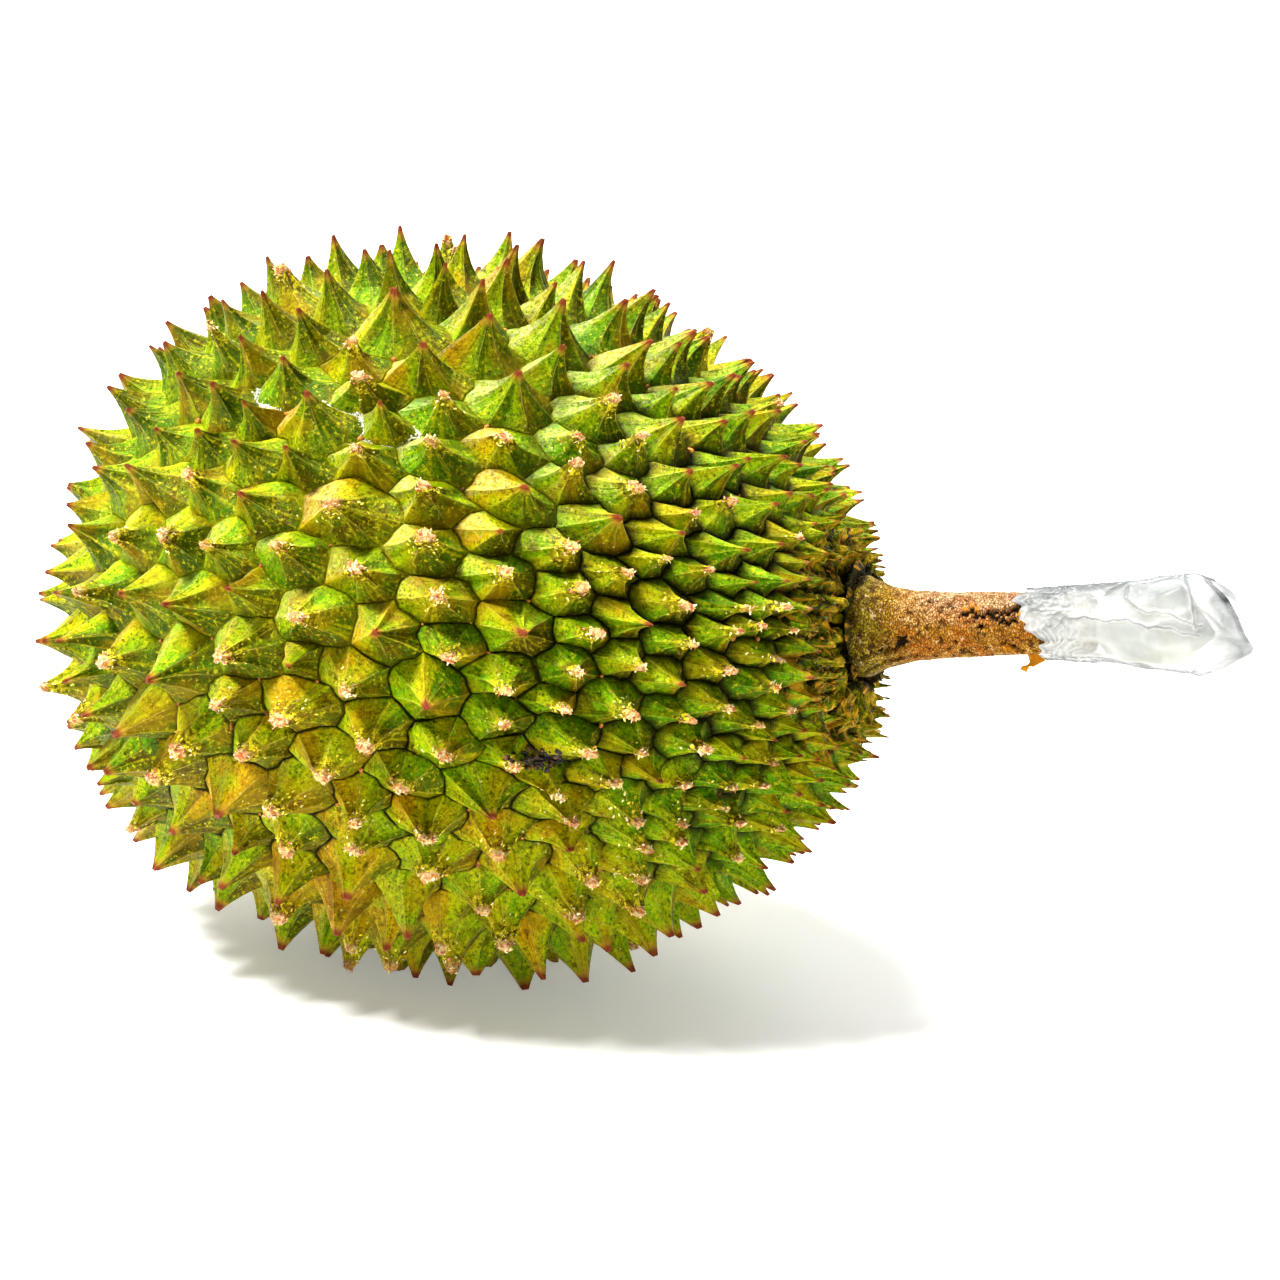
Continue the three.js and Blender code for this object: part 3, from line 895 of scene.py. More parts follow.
def waxyRind():
    # a durian's rind: fibrous husk under a thin waxy skin, green where it grew in shade, yellow to orange
    # where it had the sunlight and where the lamps light it, which is partly painted light, with corky brown
    # tips and stains; painted shade on flanks facing away from the lamps, in valleys and between spines, and
    # a painted glare
    material, tree, surface, place = blankMaterial("waxy_rind")
    rise, mid, tone, wear, scabby = readAttributes(tree, "rise", "mid", "tone", "wear", "scab")
    shade, sunAndLight, pale, facet, strip = readAttributes(tree, "shade", "sunAndLight", "pale", "facet", "strip")
    corner = addNode(tree, "ShaderNodeAttribute", attribute_name="corner").outputs["Vector"]
    wide = noiseOf(tree, place, 20.0, 3.0)
    blotch = noiseOf(tree, place, 3.5, 6.0, 0.65, 0.5)
    fine = noiseOf(tree, place, 0.55, 4.0, 0.72)
    grain = noiseOf(tree, place, 0.42, 3.0, 0.75)
    flake = noiseOf(tree, place, 0.9, 3.0, 0.75)
    crack = noiseOf(tree, place, 0.6, 2.0, 0.7)
    streaks = noiseOf(tree, corner, 0.9, 3.0, 0.65)
    # green to yellow, by the sunlight, by the spine's and the flank's own tone and in soft blotches; flanks
    # that face the lamps come out yellower, which is partly painted light
    ripe = added(tree, 0.4, sunAndLight, 0.22)
    for value, weight in ((tone, 0.3), (facet, 0.7), (blotch, 1.1), (wide, 0.8)):
        ripe = swayed(tree, ripe, value, weight)
    colour = fillRamp(tree, added(tree, ripe, shade, -0.26), rind["ripening"])
    # painted shade on flanks that face away from the light; olive stains, and brown ones inside them, gather
    # there too, so they are partly painted shade
    paintedFlankShade = remap(tree, sunAndLight, 0.15, -0.45)
    stain = added(tree, noiseOf(tree, place, 5.0, 8.0, 0.74, 1.0), paintedFlankShade, 0.09)
    stain = added(tree, stain, pale, -0.05)
    pores = spotsOf(tree, place, 3.0, 0.08, 0.17)
    scales = spotsOf(tree, place, 2.6, 0.06, 0.14)
    colour = layered(tree, colour, [
        # painted shade: deep olive on the flanks that face away from the light
        (times(tree, paintedFlankShade, 0.78), "#2A3400"),
        (remap(tree, stain, 0.53, 0.63, 0.0, 0.8), "#615000"),
        (remap(tree, stain, 0.6, 0.72, 0.0, 0.85), "#402400"),
        # fibres under the skin run from the tip to the foot
        (remap(tree, streaks, 0.34, 0.48, 0.5, 0.0), "#3E4400"),
        (remap(tree, streaks, 0.54, 0.68, 0.0, 0.45), "#D4C800"),
        # grain of the skin: dark pores and pale flecks
        (remap(tree, grain, 0.34, 0.52, 0.9, 0.0), "#242800"),
        (remap(tree, fine, 0.55, 0.66, 0.0, 0.65), "#E6DC1E"),
        # dark dots of old pores, and pale scales
        (times(tree, pores, remap(tree, blotch, 0.48, 0.6, 0.0, 0.95)), "#1E1400"),
        (times(tree, scales, remap(tree, wide, 0.48, 0.6, 0.0, 0.8)), "#F0E888"),
    ])
    patch = added(tree, noiseOf(tree, place, 7.0, 3.0, 0.6), facet, 0.5)
    paintedGlare = times(tree, remap(tree, sunAndLight, 0.3, 0.7), remap(tree, fine, 0.4, 0.56, 0.0, 0.4), pale)
    groove = remap(tree, swayed(tree, rise, blotch, -0.08), 0.012, 0.046, 0.96, 0.0)
    colour = layered(tree, colour, [
        # dry ochre patches on one flank or another
        (remap(tree, patch, 0.78, 0.9, 0.0, 0.36), "#A87C00"),
        # ridges are rubbed pale
        (times(tree, remap(tree, mid, 0.0, 0.12, 0.4, 0.0), remap(tree, rise, 0.1, 0.4)), "#E6D060"),
        # a painted glare: pale specks of sheen on what faced the sky and the lamps, on the sunward side
        (paintedGlare, "#DCDCB0"),
        # line where two spines meet: painted shade in the crease, dark where the fruit is in shade and yellow
        # on its lit, sunward side
        (times(tree, groove, added(tree, 1.0, pale, -0.6)), mixed(tree, pale, "#0A0C00", "#96900A")),
    ])
    # corky tip, frayed to pale fibres where it is worn
    tip = maths(tree, "ADD", rise, maths(tree, "MULTIPLY_ADD", blotch, 0.2, -0.1))
    flaky = times(tree, remap(tree, tip, 0.4, 0.65), wear)
    flecks = times(tree, flaky, remap(tree, flake, 0.51, 0.55))
    colour = layered(tree, colour, [
        (remap(tree, tip, 0.74, 0.86, 0.0, 0.6), "#B8842A"),
        (remap(tree, tip, 0.85, 0.93), "#8A3A20"),
        (times(tree, flaky, 0.55), "#644A00"),
        (flecks, "#F0DC28"),
        (times(tree, flaky, remap(tree, crack, 0.54, 0.58, 0.0, 0.95)), "#3E2400"),
        (times(tree, remap(tree, tip, 0.82, 0.9), wear),
         mixed(tree, remap(tree, fine, 0.42, 0.58), "#D2602E", "#FAE6A8")),
    ])
    # corky scab round the stem
    scab = maths(tree, "ADD", scabby, maths(tree, "MULTIPLY_ADD", blotch, 2.6, -1.3))
    scab = remap(tree, scab, 0.28, 0.6, 0.0, 0.94)
    cork = fillRamp(tree, added(tree, noiseOf(tree, place, 1.1, 5.0, 0.75), strip, 0.22), rind["cork"])
    paintedValleyShade = remap(tree, swayed(tree, rise, blotch, -0.25), 0.04, 0.22, 0.94, 0.0)
    creep = times(tree, remap(tree, scabby, 0.0, 0.25), remap(tree, streaks, 0.5, 0.62, 0.0, 0.75))
    reach = vectors(tree, "LENGTH", vectors(tree, "SUBTRACT", place, stemFoot()))
    reach = added(tree, reach, blotch, 2.2 * mm)
    colour = layered(tree, colour, [
        (scab, cork),
        # painted shade in the valleys between the spines near the stem
        (times(tree, paintedValleyShade, shade), "#121400"),
        # orange-brown stains creep out from the scab along the spines
        (creep, "#C08418"),
        # painted shade, near black, in the groove round the stem's foot
        (remap(tree, reach, *(edge * mm for edge in rind["footShadeTo"]), 0.95, 0.0), "#080400"),
    ])
    rough = remap(tree, blotch, 0.3, 0.7, 0.28, 0.5)
    rough = addNode(tree, "ShaderNodeMix", {0: scab, 2: rough, 3: 0.9}, data_type="FLOAT").outputs[0]
    feed(tree, surface, {"Base Color": colour, "Roughness": rough, "Specular IOR Level": 0.26,
                         "Specular Tint": linearColour(rind["sheen"])})
    relief = added(tree, fine, grain, 0.4)
    for value, weight in ((blotch, 1.5), (streaks, 0.8), (times(tree, flaky, flecks), 0.5)):
        relief = added(tree, relief, value, weight)
    bumped(tree, surface, relief, 0.9, 0.75)
    return material


def huskWear():
    # how worn each spine is, how much sunlight it had and how lit it is, how hollow it is and where its tip
    # ends
    plan = rind
    rng = np.random.default_rng(plan["wearSeed"])
    rubbed = smoothStep(*plan["rubbedEnds"], normals @ np.array(plan["rubbedSide"]))
    chance = plan["elsewhere"] + (plan["wornShare"] - plan["elsewhere"]) * rubbed
    wear = (rng.random(len(seeds)) < chance) * rng.uniform(*plan["wearRange"], len(seeds))
    wear = wear * smoothStep(*plan["wornFrom"], polars)
    sunwardAndLit = smoothStep(*plan["paleEnds"], normals @ np.array(plan["paleSide"]))
    slender = np.maximum(sunwardAndLit, plan["slenderAtStem"] * (1 - smoothStep(*plan["slenderTo"], polars)))
    bend = rng.normal(size=(len(seeds), 3)) * plan["wornBend"]
    bend -= (bend * normals).sum(axis=1)[:, None] * normals
    scabLoss = rng.uniform(0, plan["scabLoss"], len(seeds)) * (1 - smoothStep(*plan["scabLossTo"], polars))
    loss = wear * plan["wornLoss"] + scabLoss
    loss = np.maximum(loss, plan["seatLoss"] * (1 - smoothStep(*plan["seatLossTo"], polars)))
    wornTips = tips + (feet - tips) * loss[:, None] + bend * wear[:, None]
    return wear, sunwardAndLit, slender, wornTips, rng.random(len(seeds))


def buildHusk():
    net = cellNet()
    outlines, mids, rings, junctions = drawCells(net)
    bpy.data.objects.remove(net)
    corners = onHusk(outlines)
    points = list(corners)
    faces = [ring for seed, ring in rings if seed]
    owner = [seed for seed, ring in rings if seed]
    seatRings(next(ring for seed, ring in rings if seed == 0), corners, points, faces)
    thing = meshObject("spiny_husk", toRow(points), faces)
    owner = np.array(owner + [0] * (len(faces) - len(owner)))
    # a bow is fullest half way up, where rise * (1 - rise) is a quarter
    bows = (normals * heights[:, None] - (tips - feet)) * rind["bow"] * 4
    wear, sunwardAndLit, slender, wornTips, tone = huskWear()
    mesh = thing.data
    for name, values in (
        ("foot", toRow(feet)), ("tip", toRow(wornTips)), ("slender", slender), ("bow", bows @ layDown.T * mm),
        ("tone", tone), ("wear", wear), ("pale", sunwardAndLit), ("spines", np.arange(len(seeds)) > 0),
    ):
        storeAttribute(mesh, name, values[owner], "FACE")
    mesh.attributes.new("spiny", "BOOLEAN", "FACE").data.foreach_set("value", owner > 0)
    storeAttribute(mesh, "mid", mids + [0.5] * (len(points) - len(mids)))
    fromStem = polarOf(np.array(points))
    storeAttribute(mesh, "scab", 1 - smoothStep(*rind["scabTo"], fromStem))
    storeAttribute(mesh, "shade", 1 - smoothStep(*rind["shadeTo"], fromStem))
    thing = runTree(thing, spineTree(waxyRind()), {
        "Rounding": rind["rounding"],
        "Scoop": rind["scoop"],
        "Ridge Spread": rind["ridgeSpread"],
        "Unevenness": rind["unevenness"] * mm,
        "Unevenness Size": rind["unevennessSize"] * mm,
        "Tearing": rind["tearing"] * mm,
        "Sharp Angle": math.radians(rind["sharpAngle"]),
        "Groove Depth": rind["grooveDepth"] * mm,
        "Groove Wander": rind["grooveWander"] * mm,
        "Slenderness": rind["slenderness"],
        "Tip Width": rind["tipWidth"],
        "Bluntness": rind["bluntness"],
    })
    return thing, toRow(onHusk(junctions)), toRow(corners), [ring for _, ring in rings]


def triangleCount(thing):
    return sum(len(polygon.vertices) - 2 for polygon in thing.data.polygons)


def copyOfHusk(name):
    thing = bpy.data.objects.new(name, spinyHusk.data.copy())
    bpy.context.scene.collection.objects.link(thing)
    return thing


smallest = 0.35  # size of the least fibre or flake, as a share of the largest


def scattered(tree, points, rotation, thing, sway):
    # one on every point, leaning by `sway`, sized and toned at random
    lean = addNode(tree, "FunctionNodeEulerToRotation", {0: sway}).outputs[0]
    turn = addNode(tree, "FunctionNodeRotateRotation", {0: rotation, 1: lean}, rotation_space="LOCAL")
    sockets = {"Points": points, "Instance": thing, "Rotation": turn.outputs[0],
               "Scale": randomOf(tree, smallest, 1.0, 2)}
    things = addNode(tree, "GeometryNodeInstanceOnPoints", sockets).outputs[0]
    things = kept(tree, things, "tone", randomOf(tree, 0.0, 1.0, 3), domain="INSTANCE")
    return realized(tree, things)


def spreadOn(tree, mesh, density, seed, **more):
    sockets = {"Mesh": mesh, "Density": density, "Seed": seed, **more}
    return addNode(tree, "GeometryNodeDistributePointsOnFaces", sockets, distribute_method="RANDOM").outputs


spinyHusk, junctions, borderPoints, borders = buildHusk()
print("spiny husk:", triangleCount(spinyHusk), "triangles")
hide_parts("husk")
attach(spinyHusk, "root")


# frayed fibres on the worn tips
fibre = {
    "perSquareMm": 1.1,
    "length": 0.9,          # mm
    "width": 0.8,           # mm at its foot
    "tipWidth": 0.36,       # as a share of that
    "thickness": 0.4,       # as a share of its width
    "spread": 48,           # degrees off the surface's normal
    "curl": 1.2,            # mm
    "curlSize": 1.2,        # mm
    "from": 0.8,            # how far up a spine they begin
    "wornFrom": 0.3,        # the least wear of a spine that has them
    "tones": [(0.0, "#B4532A"), (0.15, "#D98050"), (0.32, "#F0B890"), (0.5, "#FFEFC4"), (0.75, "#F0DC88"),
              (1.0, "#E0C030")],
    "seed": 4,
}


def fibreTree(material):
    tree, given, end = newTree("frayed_fibres", "Density", "Length", "Width", "Thickness", "Spread", "Curl",
                               "Seed")
    onTip = above(tree, named(tree, "rise"), fibre["from"])
    worn = times(tree, onTip, above(tree, named(tree, "wear"), fibre["wornFrom"]))
    spread = spreadOn(tree, given["Geometry"], given["Density"], given["Seed"], Selection=worn)
    cone = addNode(tree, "GeometryNodeMeshCone", {
        "Vertices": 4, "Side Segments": 3, "Fill Segments": 1, "Depth": given["Length"],
        "Radius Bottom": times(tree, given["Width"], 0.5),
        "Radius Top": times(tree, given["Width"], 0.5 * fibre["tipWidth"]),
    })
    height = addNode(tree, "ShaderNodeSeparateXYZ", {0: placeOf(tree)}).outputs["Z"]
    strand = kept(tree, cone.outputs["Mesh"], "along", maths(tree, "DIVIDE", height, given["Length"]))
    thin = joined(tree, 1.0, given["Thickness"], 1.0)
    strand = addNode(tree, "GeometryNodeTransform", {"Geometry": strand, "Scale": thin}).outputs[0]
    sway = randomOf(tree, (-1.0, -1.0, -1.0), (1.0, 1.0, 1.0), 1)
    sway = vectors(tree, "SCALE", sway, scale=given["Spread"])
    mesh = scattered(tree, spread["Points"], spread["Rotation"], strand, sway)
    along = named(tree, "along")
    bend = times(tree, along, along, given["Curl"])
    mesh = shifted(tree, mesh, vectors(tree, "SCALE", wanderOf(tree, fibre["curlSize"], 0.0), scale=bend))
    return endTree(tree, end, keptOnFloor(tree, mesh), material)


def frayedCork():
    # torn cork and fibre: cream inside, pink and orange where it has dried
    material, tree, surface, place = blankMaterial("frayed_cork")
    blotch = noiseOf(tree, place, 0.8, 3.0)
    colour = fillRamp(tree, readAttribute(tree, "tone"), fibre["tones"])
    colour = mixed(tree, remap(tree, blotch, 0.52, 0.66, 0.0, 0.5), colour, "#8A4A1E")
    feed(tree, surface, {"Base Color": colour, "Roughness": 0.7})
    bumped(tree, surface, blotch, 0.2, 0.5)
    return material


def buildFibres():
    return runTree(copyOfHusk("frayed_tips"), fibreTree(frayedCork()), {
        "Density": fibre["perSquareMm"] / mm ** 2,
        "Length": fibre["length"] * mm,
        "Width": fibre["width"] * mm,
        "Thickness": fibre["thickness"],
        "Spread": math.radians(fibre["spread"]),
        "Curl": fibre["curl"] * mm,
        "Seed": fibre["seed"],
    })


frayedTips = buildFibres()
print("frayed tips:", triangleCount(frayedTips), "triangles")
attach(frayedTips, "root")


# yellow scales below the worn tips, and torn skin round the stem
flakeTop = 0.92             # how far up a spine the flakes of both kinds lie
bareSeat = 19.5             # mm round the stem's foot that has none
scale = {
    "perSquareMm": 0.4,
    "size": 1.4,            # mm across
    "narrowness": 0.5,      # its width, as a share of its size
    "thickness": 0.3,
    "patch": 2.6,           # mm, width of the patches that they lie in
    "from": 0.38,           # how far up a spine they begin
    "where": ("wear", 0.3),     # what tells where they lie, and how much of it there has to be
    "tones": [(0.0, "#5A3408"), (0.15, "#A8801A"), (0.3, "#E0C818"), (0.7, "#F6E83C"), (1.0, "#FFF8B0")],
    "seed": 9,
}
tear = {
    "perSquareMm": 0.42,
    "size": 2.6,
    "narrowness": 0.24,
    "thickness": 0.25,
    "patch": 5.0,
    "from": 0.0,
    "where": ("scab", 0.35),
    "tones": [(0.0, "#0A0800"), (0.25, "#38360A"), (0.5, "#66690A"), (0.75, "#8C8408"), (0.92, "#CC9628"),
              (1.0, "#B06418")],
    "seed": 14,
}


def scaleTree(material, name, low):
    # flakes strewn where the named attribute is above `low`, their length pointing away from the stem
    tree, given, end = newTree("strewn_flakes", "Density", "Size", "Narrowness", "Thickness", "Patch", "From",
                               "Seed")
    sockets = {"Scale": maths(tree, "DIVIDE", 0.5, given["Patch"]), "Detail": 2.0, "Roughness": 0.6}
    patch = addNode(tree, "ShaderNodeTexNoise", sockets).outputs["Fac"]
    rise = named(tree, "rise")
    radial = vectors(tree, "SUBTRACT", placeOf(tree), stemFoot())
    share = times(tree, above(tree, patch, 0.5), above(tree, rise, given["From"]),
                  maths(tree, "LESS_THAN", rise, flakeTop), above(tree, named(tree, name), low),
                  above(tree, vectors(tree, "LENGTH", radial), bareSeat * mm))
    spread = spreadOn(tree, given["Geometry"], times(tree, share, given["Density"]), given["Seed"])
    sockets = {"Radius": times(tree, given["Size"], 0.5), "Subdivisions": 1}
    flake = addNode(tree, "GeometryNodeMeshIcoSphere", sockets).outputs["Mesh"]
    thin = joined(tree, 1.0, given["Narrowness"], given["Thickness"])
    flake = addNode(tree, "GeometryNodeTransform", {"Geometry": flake, "Scale": thin}).outputs[0]
    sockets = {"Rotation": spread["Rotation"], "Vector": radial}
    aligned = addNode(tree, "FunctionNodeAlignRotationToVector", sockets, axis="X", pivot_axis="Z").outputs[0]
    sway = randomOf(tree, (-0.5, -0.5, -0.8), (0.5, 0.5, 0.8), 1)
    mesh = scattered(tree, spread["Points"], aligned, flake, sway)
    return endTree(tree, end, keptOnFloor(tree, mesh), material)


def drySkin():
    # flakes of dried skin: bright yellow, with brown ones among them
    material, tree, surface, place = blankMaterial("dry_skin_scales")
    colour = fillRamp(tree, readAttribute(tree, "tone"), scale["tones"])
    feed(tree, surface, {"Base Color": colour, "Roughness": 0.6})
    return material


def tornSkin():
    # torn, corky skin: ochre and olive, nearly black where it has rotted
    material, tree, surface, place = blankMaterial("torn_skin")
    grain = noiseOf(tree, place, 0.6, 3.0, 0.7)
    colour = fillRamp(tree, readAttribute(tree, "tone"), tear["tones"])
    colour = mixed(tree, remap(tree, grain, 0.35, 0.5, 0.6, 0.0), colour, "#2A1E02")
    feed(tree, surface, {"Base Color": colour, "Roughness": 0.7})
    bumped(tree, surface, grain, 0.3, 0.6)
    return material


def strewFlakes(name, sizes, material):
    flakes = runTree(copyOfHusk(name), scaleTree(material, *sizes["where"]), {
        "Density": sizes["perSquareMm"] / mm ** 2,
        "Size": sizes["size"] * mm,
        "Narrowness": sizes["narrowness"],
        "Thickness": sizes["thickness"],
        "Patch": sizes["patch"] * mm,
        "From": sizes["from"],
        "Seed": sizes["seed"],
    })
    print(name + ":", triangleCount(flakes), "triangles")
    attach(flakes, "root")


strewFlakes("yellow_scales", scale, drySkin())
strewFlakes("torn_skin", tear, tornSkin())


# nubs, dried sap and crumbs
nub = {
    "share": 0.16,          # of the places where three spines meet
    "clearance": 3.6,       # mm above the floor
    "radius": 0.9,          # mm, and the shares of it that they have
    "sizes": (0.5, 1),
    "lump": 1.3,            # mm that its form wanders
    "tones": [(0.36, "#4A2404"), (0.48, "#A85C12"), (0.58, "#CE8A26"), (0.7, "#D8B848")],
    "seed": 2,
}
sap = {
    # pixels that the dried run keeps near to, from left to right
    "line": [(215, 403), (235, 404), (253, 410), (266, 426), (286, 418), (318, 420), (326, 436), (363, 434),
             (375, 446), (408, 445), (420, 424)],
    "lineParts": 300,
    "freedom": 10.0,        # pixels that it may stray from the line before its way counts double
    "farOff": 1000,         # pixels, for the borders at the back
    "gaps": [0.14, 0.36, 0.8],  # where it is broken, along its length
    "gapWidth": 0.015,
    "blobs": [0.02, 0.2, 0.27, 0.5, 0.66, 0.94],  # and where it gathered
    "blobWidth": 0.025,
    "stray": 0.12,          # mm that a lump lies off the line
    "blobStray": 0.38,      # mm more, where it gathered
    "blobLumps": 2,         # more lumps there
    "blobGrowth": 0.3,      # and larger ones
    "step": 0.16,           # mm
    "radius": 0.36,         # mm
    "sizes": (0.35, 0.85),
    "lump": 0.6,
    "tones": ("#FFFFFF", "#CFD0B8"),
    "seed": 6,
}
pit = {
    "middle": (540, 759),   # pixel
    "halfSize": (21, 9),    # in pixels
    "crumbs": 130,
    "radius": 0.75,         # mm
    "sizes": (0.3, 1.2),
    "lump": 1.0,
    "tones": [(0.4, "#0C0804"), (0.58, "#2A1606"), (0.66, "#7A4A1A")],
    "seed": 8,
}
lumpForm = (0.5, 1.2)       # the least and the most that a lump is squeezed or drawn out
lumpWander = 0.7            # mm, width of the dents in it


def lumpTree(material):
    # a lump on every point, as large as the point's own size says
    tree, given, end = newTree("lumps", "Radius", "Lump", "Seed")
    sockets = {"Radius": given["Radius"], "Subdivisions": 2}
    ball = addNode(tree, "GeometryNodeMeshIcoSphere", sockets).outputs["Mesh"]
    form = randomOf(tree, (lumpForm[0],) * 3, (lumpForm[1],) * 3, given["Seed"])
    form = vectors(tree, "SCALE", form, scale=named(tree, "size"))
    sockets = {"Points": given["Geometry"], "Instance": ball, "Scale": form}
    mesh = realized(tree, addNode(tree, "GeometryNodeInstanceOnPoints", sockets).outputs[0])
    mesh = shifted(tree, mesh, vectors(tree, "SCALE", wanderOf(tree, lumpWander, 2.0), scale=given["Lump"]))
    return endTree(tree, end, smoothed(tree, mesh), material)


def layLumps(name, places, sizes, plan, material):
    lumps = meshObject(name, places, [])
    storeAttribute(lumps.data, "size", sizes)
    lumps = runTree(lumps, lumpTree(material), {
        "Radius": plan["radius"] * mm,
        "Lump": plan["lump"] * mm,
        "Seed": plan["seed"],
    })
    print(name + ":", triangleCount(lumps), "triangles")
    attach(lumps, "root")


def orangeCork():
    # small knobs of cork, orange-brown with darker pits
    material, tree, surface, place = blankMaterial("orange_cork")
    lump = noiseOf(tree, place, 0.9, 3.0, 0.7)
    colour = fillRamp(tree, lump, nub["tones"])
    feed(tree, surface, {"Base Color": colour, "Roughness": 0.75})
    bumped(tree, surface, lump, 0.3, 0.7)
    return material


def driedSap():
    # latex that ran and dried: a white, slightly shiny crust
    material, tree, surface, place = blankMaterial("dried_sap")
    colour = mixed(tree, noiseOf(tree, place, 1.2, 2.0), *sap["tones"])
    feed(tree, surface, {"Base Color": colour, "Roughness": 0.3})
    return material


def blackCrumbs():
    # rotted crumbs: black, with a few orange-brown ones
    material, tree, surface, place = blankMaterial("black_crumbs")
    colour = fillRamp(tree, noiseOf(tree, place, 1.2, 2.0), pit["tones"])
    feed(tree, surface, {"Base Color": colour, "Roughness": 0.6})
    return material


def huskSurface():
    return BVHTree.FromObject(spinyHusk, bpy.context.evaluated_depsgraph_get())


def seenOnHusk(surface, x, y):
    return surface.ray_cast(cameraPlace, rayThrough(x, y))[0]


def layNubs():
    rng = np.random.default_rng(nub["seed"])
    some = (junctions[:, 2] > nub["clearance"] * mm) & (rng.random(len(junctions)) < nub["share"])
    layLumps("corky_nubs", junctions[some], rng.uniform(*nub["sizes"], some.sum()), nub, orangeCork())


def pixelOf(place):
    # where a place shows in the framed image
    scale = cameraPlan["sensor"] / cameraPlan["lens"] / imageSize
    reach = Vector(place) - cameraPlace
    depth = -reach.dot(cameraBack) * scale
    x, y = cameraPlan["huskAt"]
    return x + reach.dot(cameraRight) / depth, y - reach.dot(cameraUp) / depth


def seamPath(line):
    # the way along the cells' borders that keeps nearest to a drawn line, found by its least cost
    seen = np.array([pixelOf(place) for place in borderPoints])
    share = np.linspace(0, len(line) - 1, sap["lineParts"])
    drawn = np.stack([np.interp(share, np.arange(len(line)), line[:, k]) for k in (0, 1)], 1)
    off = np.linalg.norm(seen[:, None] - drawn[None], axis=2).min(axis=1)
    isFront = (borderPoints - borderPoints.mean(axis=0)) @ np.array(cameraBack) > 0
    off = np.where(isFront, off, sap["farOff"])
    beside = {}
    for ring in borders:
        for a, b in zip(ring, ring[1:] + ring[:1]):
            beside.setdefault(a, set()).add(b)
            beside.setdefault(b, set()).add(a)
    first, last = (int(np.argmin(np.linalg.norm(seen - end, axis=1) + off)) for end in (line[0], line[-1]))
    costs, before, waiting = {first: 0.0}, {}, [(0.0, first)]
    while waiting:
        cost, here = heapq.heappop(waiting)
        if here == last:
            break
        for there in sorted(beside[here]):
            way = np.linalg.norm(borderPoints[there] - borderPoints[here])
            total = cost + way * (1 + (off[there] / sap["freedom"]) ** 2)
            if total < costs.get(there, math.inf):
                costs[there], before[there] = total, here
                heapq.heappush(waiting, (total, there))
    path = [last]
    while path[-1] != first:
        path.append(before[path[-1]])
    return borderPoints[path[::-1]]


def laySap(surface):
    rng = np.random.default_rng(sap["seed"])
    run = seamPath(np.array(sap["line"], dtype=float))
    reach = np.concatenate([[0], np.cumsum(np.linalg.norm(np.diff(run, axis=0), axis=1))])
    places, sizes = [], []
    for along in np.arange(0, reach[-1], sap["step"] * mm):
        share = along / reach[-1]
        if min(abs(share - gap) for gap in sap["gaps"]) < sap["gapWidth"]:
            continue
        thick = max(math.exp(-((share - blob) / sap["blobWidth"]) ** 2) for blob in sap["blobs"])
        middle = np.array([np.interp(along, reach, run[:, k]) for k in range(3)])
        for _ in range(1 + round(sap["blobLumps"] * thick)):
            stray = rng.normal(size=3) * (sap["stray"] + sap["blobStray"] * thick) * mm
            places.append(surface.find_nearest(Vector(middle + stray))[0])
            sizes.append(rng.uniform(*sap["sizes"]) * (1 + sap["blobGrowth"] * thick))
    layLumps("dried_sap", places, sizes, sap, driedSap())


def layCrumbs(surface):
    rng = np.random.default_rng(pit["seed"])
    spread = rng.normal(size=(pit["crumbs"], 2)) * 0.5 * np.array(pit["halfSize"]) + pit["middle"]
    hits = [seenOnHusk(surface, *pixel) for pixel in spread]
    places = [hit for hit in hits if hit]
    layLumps("black_crumbs", places, rng.uniform(*pit["sizes"], len(places)), pit, blackCrumbs())


layNubs()
laySap(huskSurface())
layCrumbs(huskSurface())


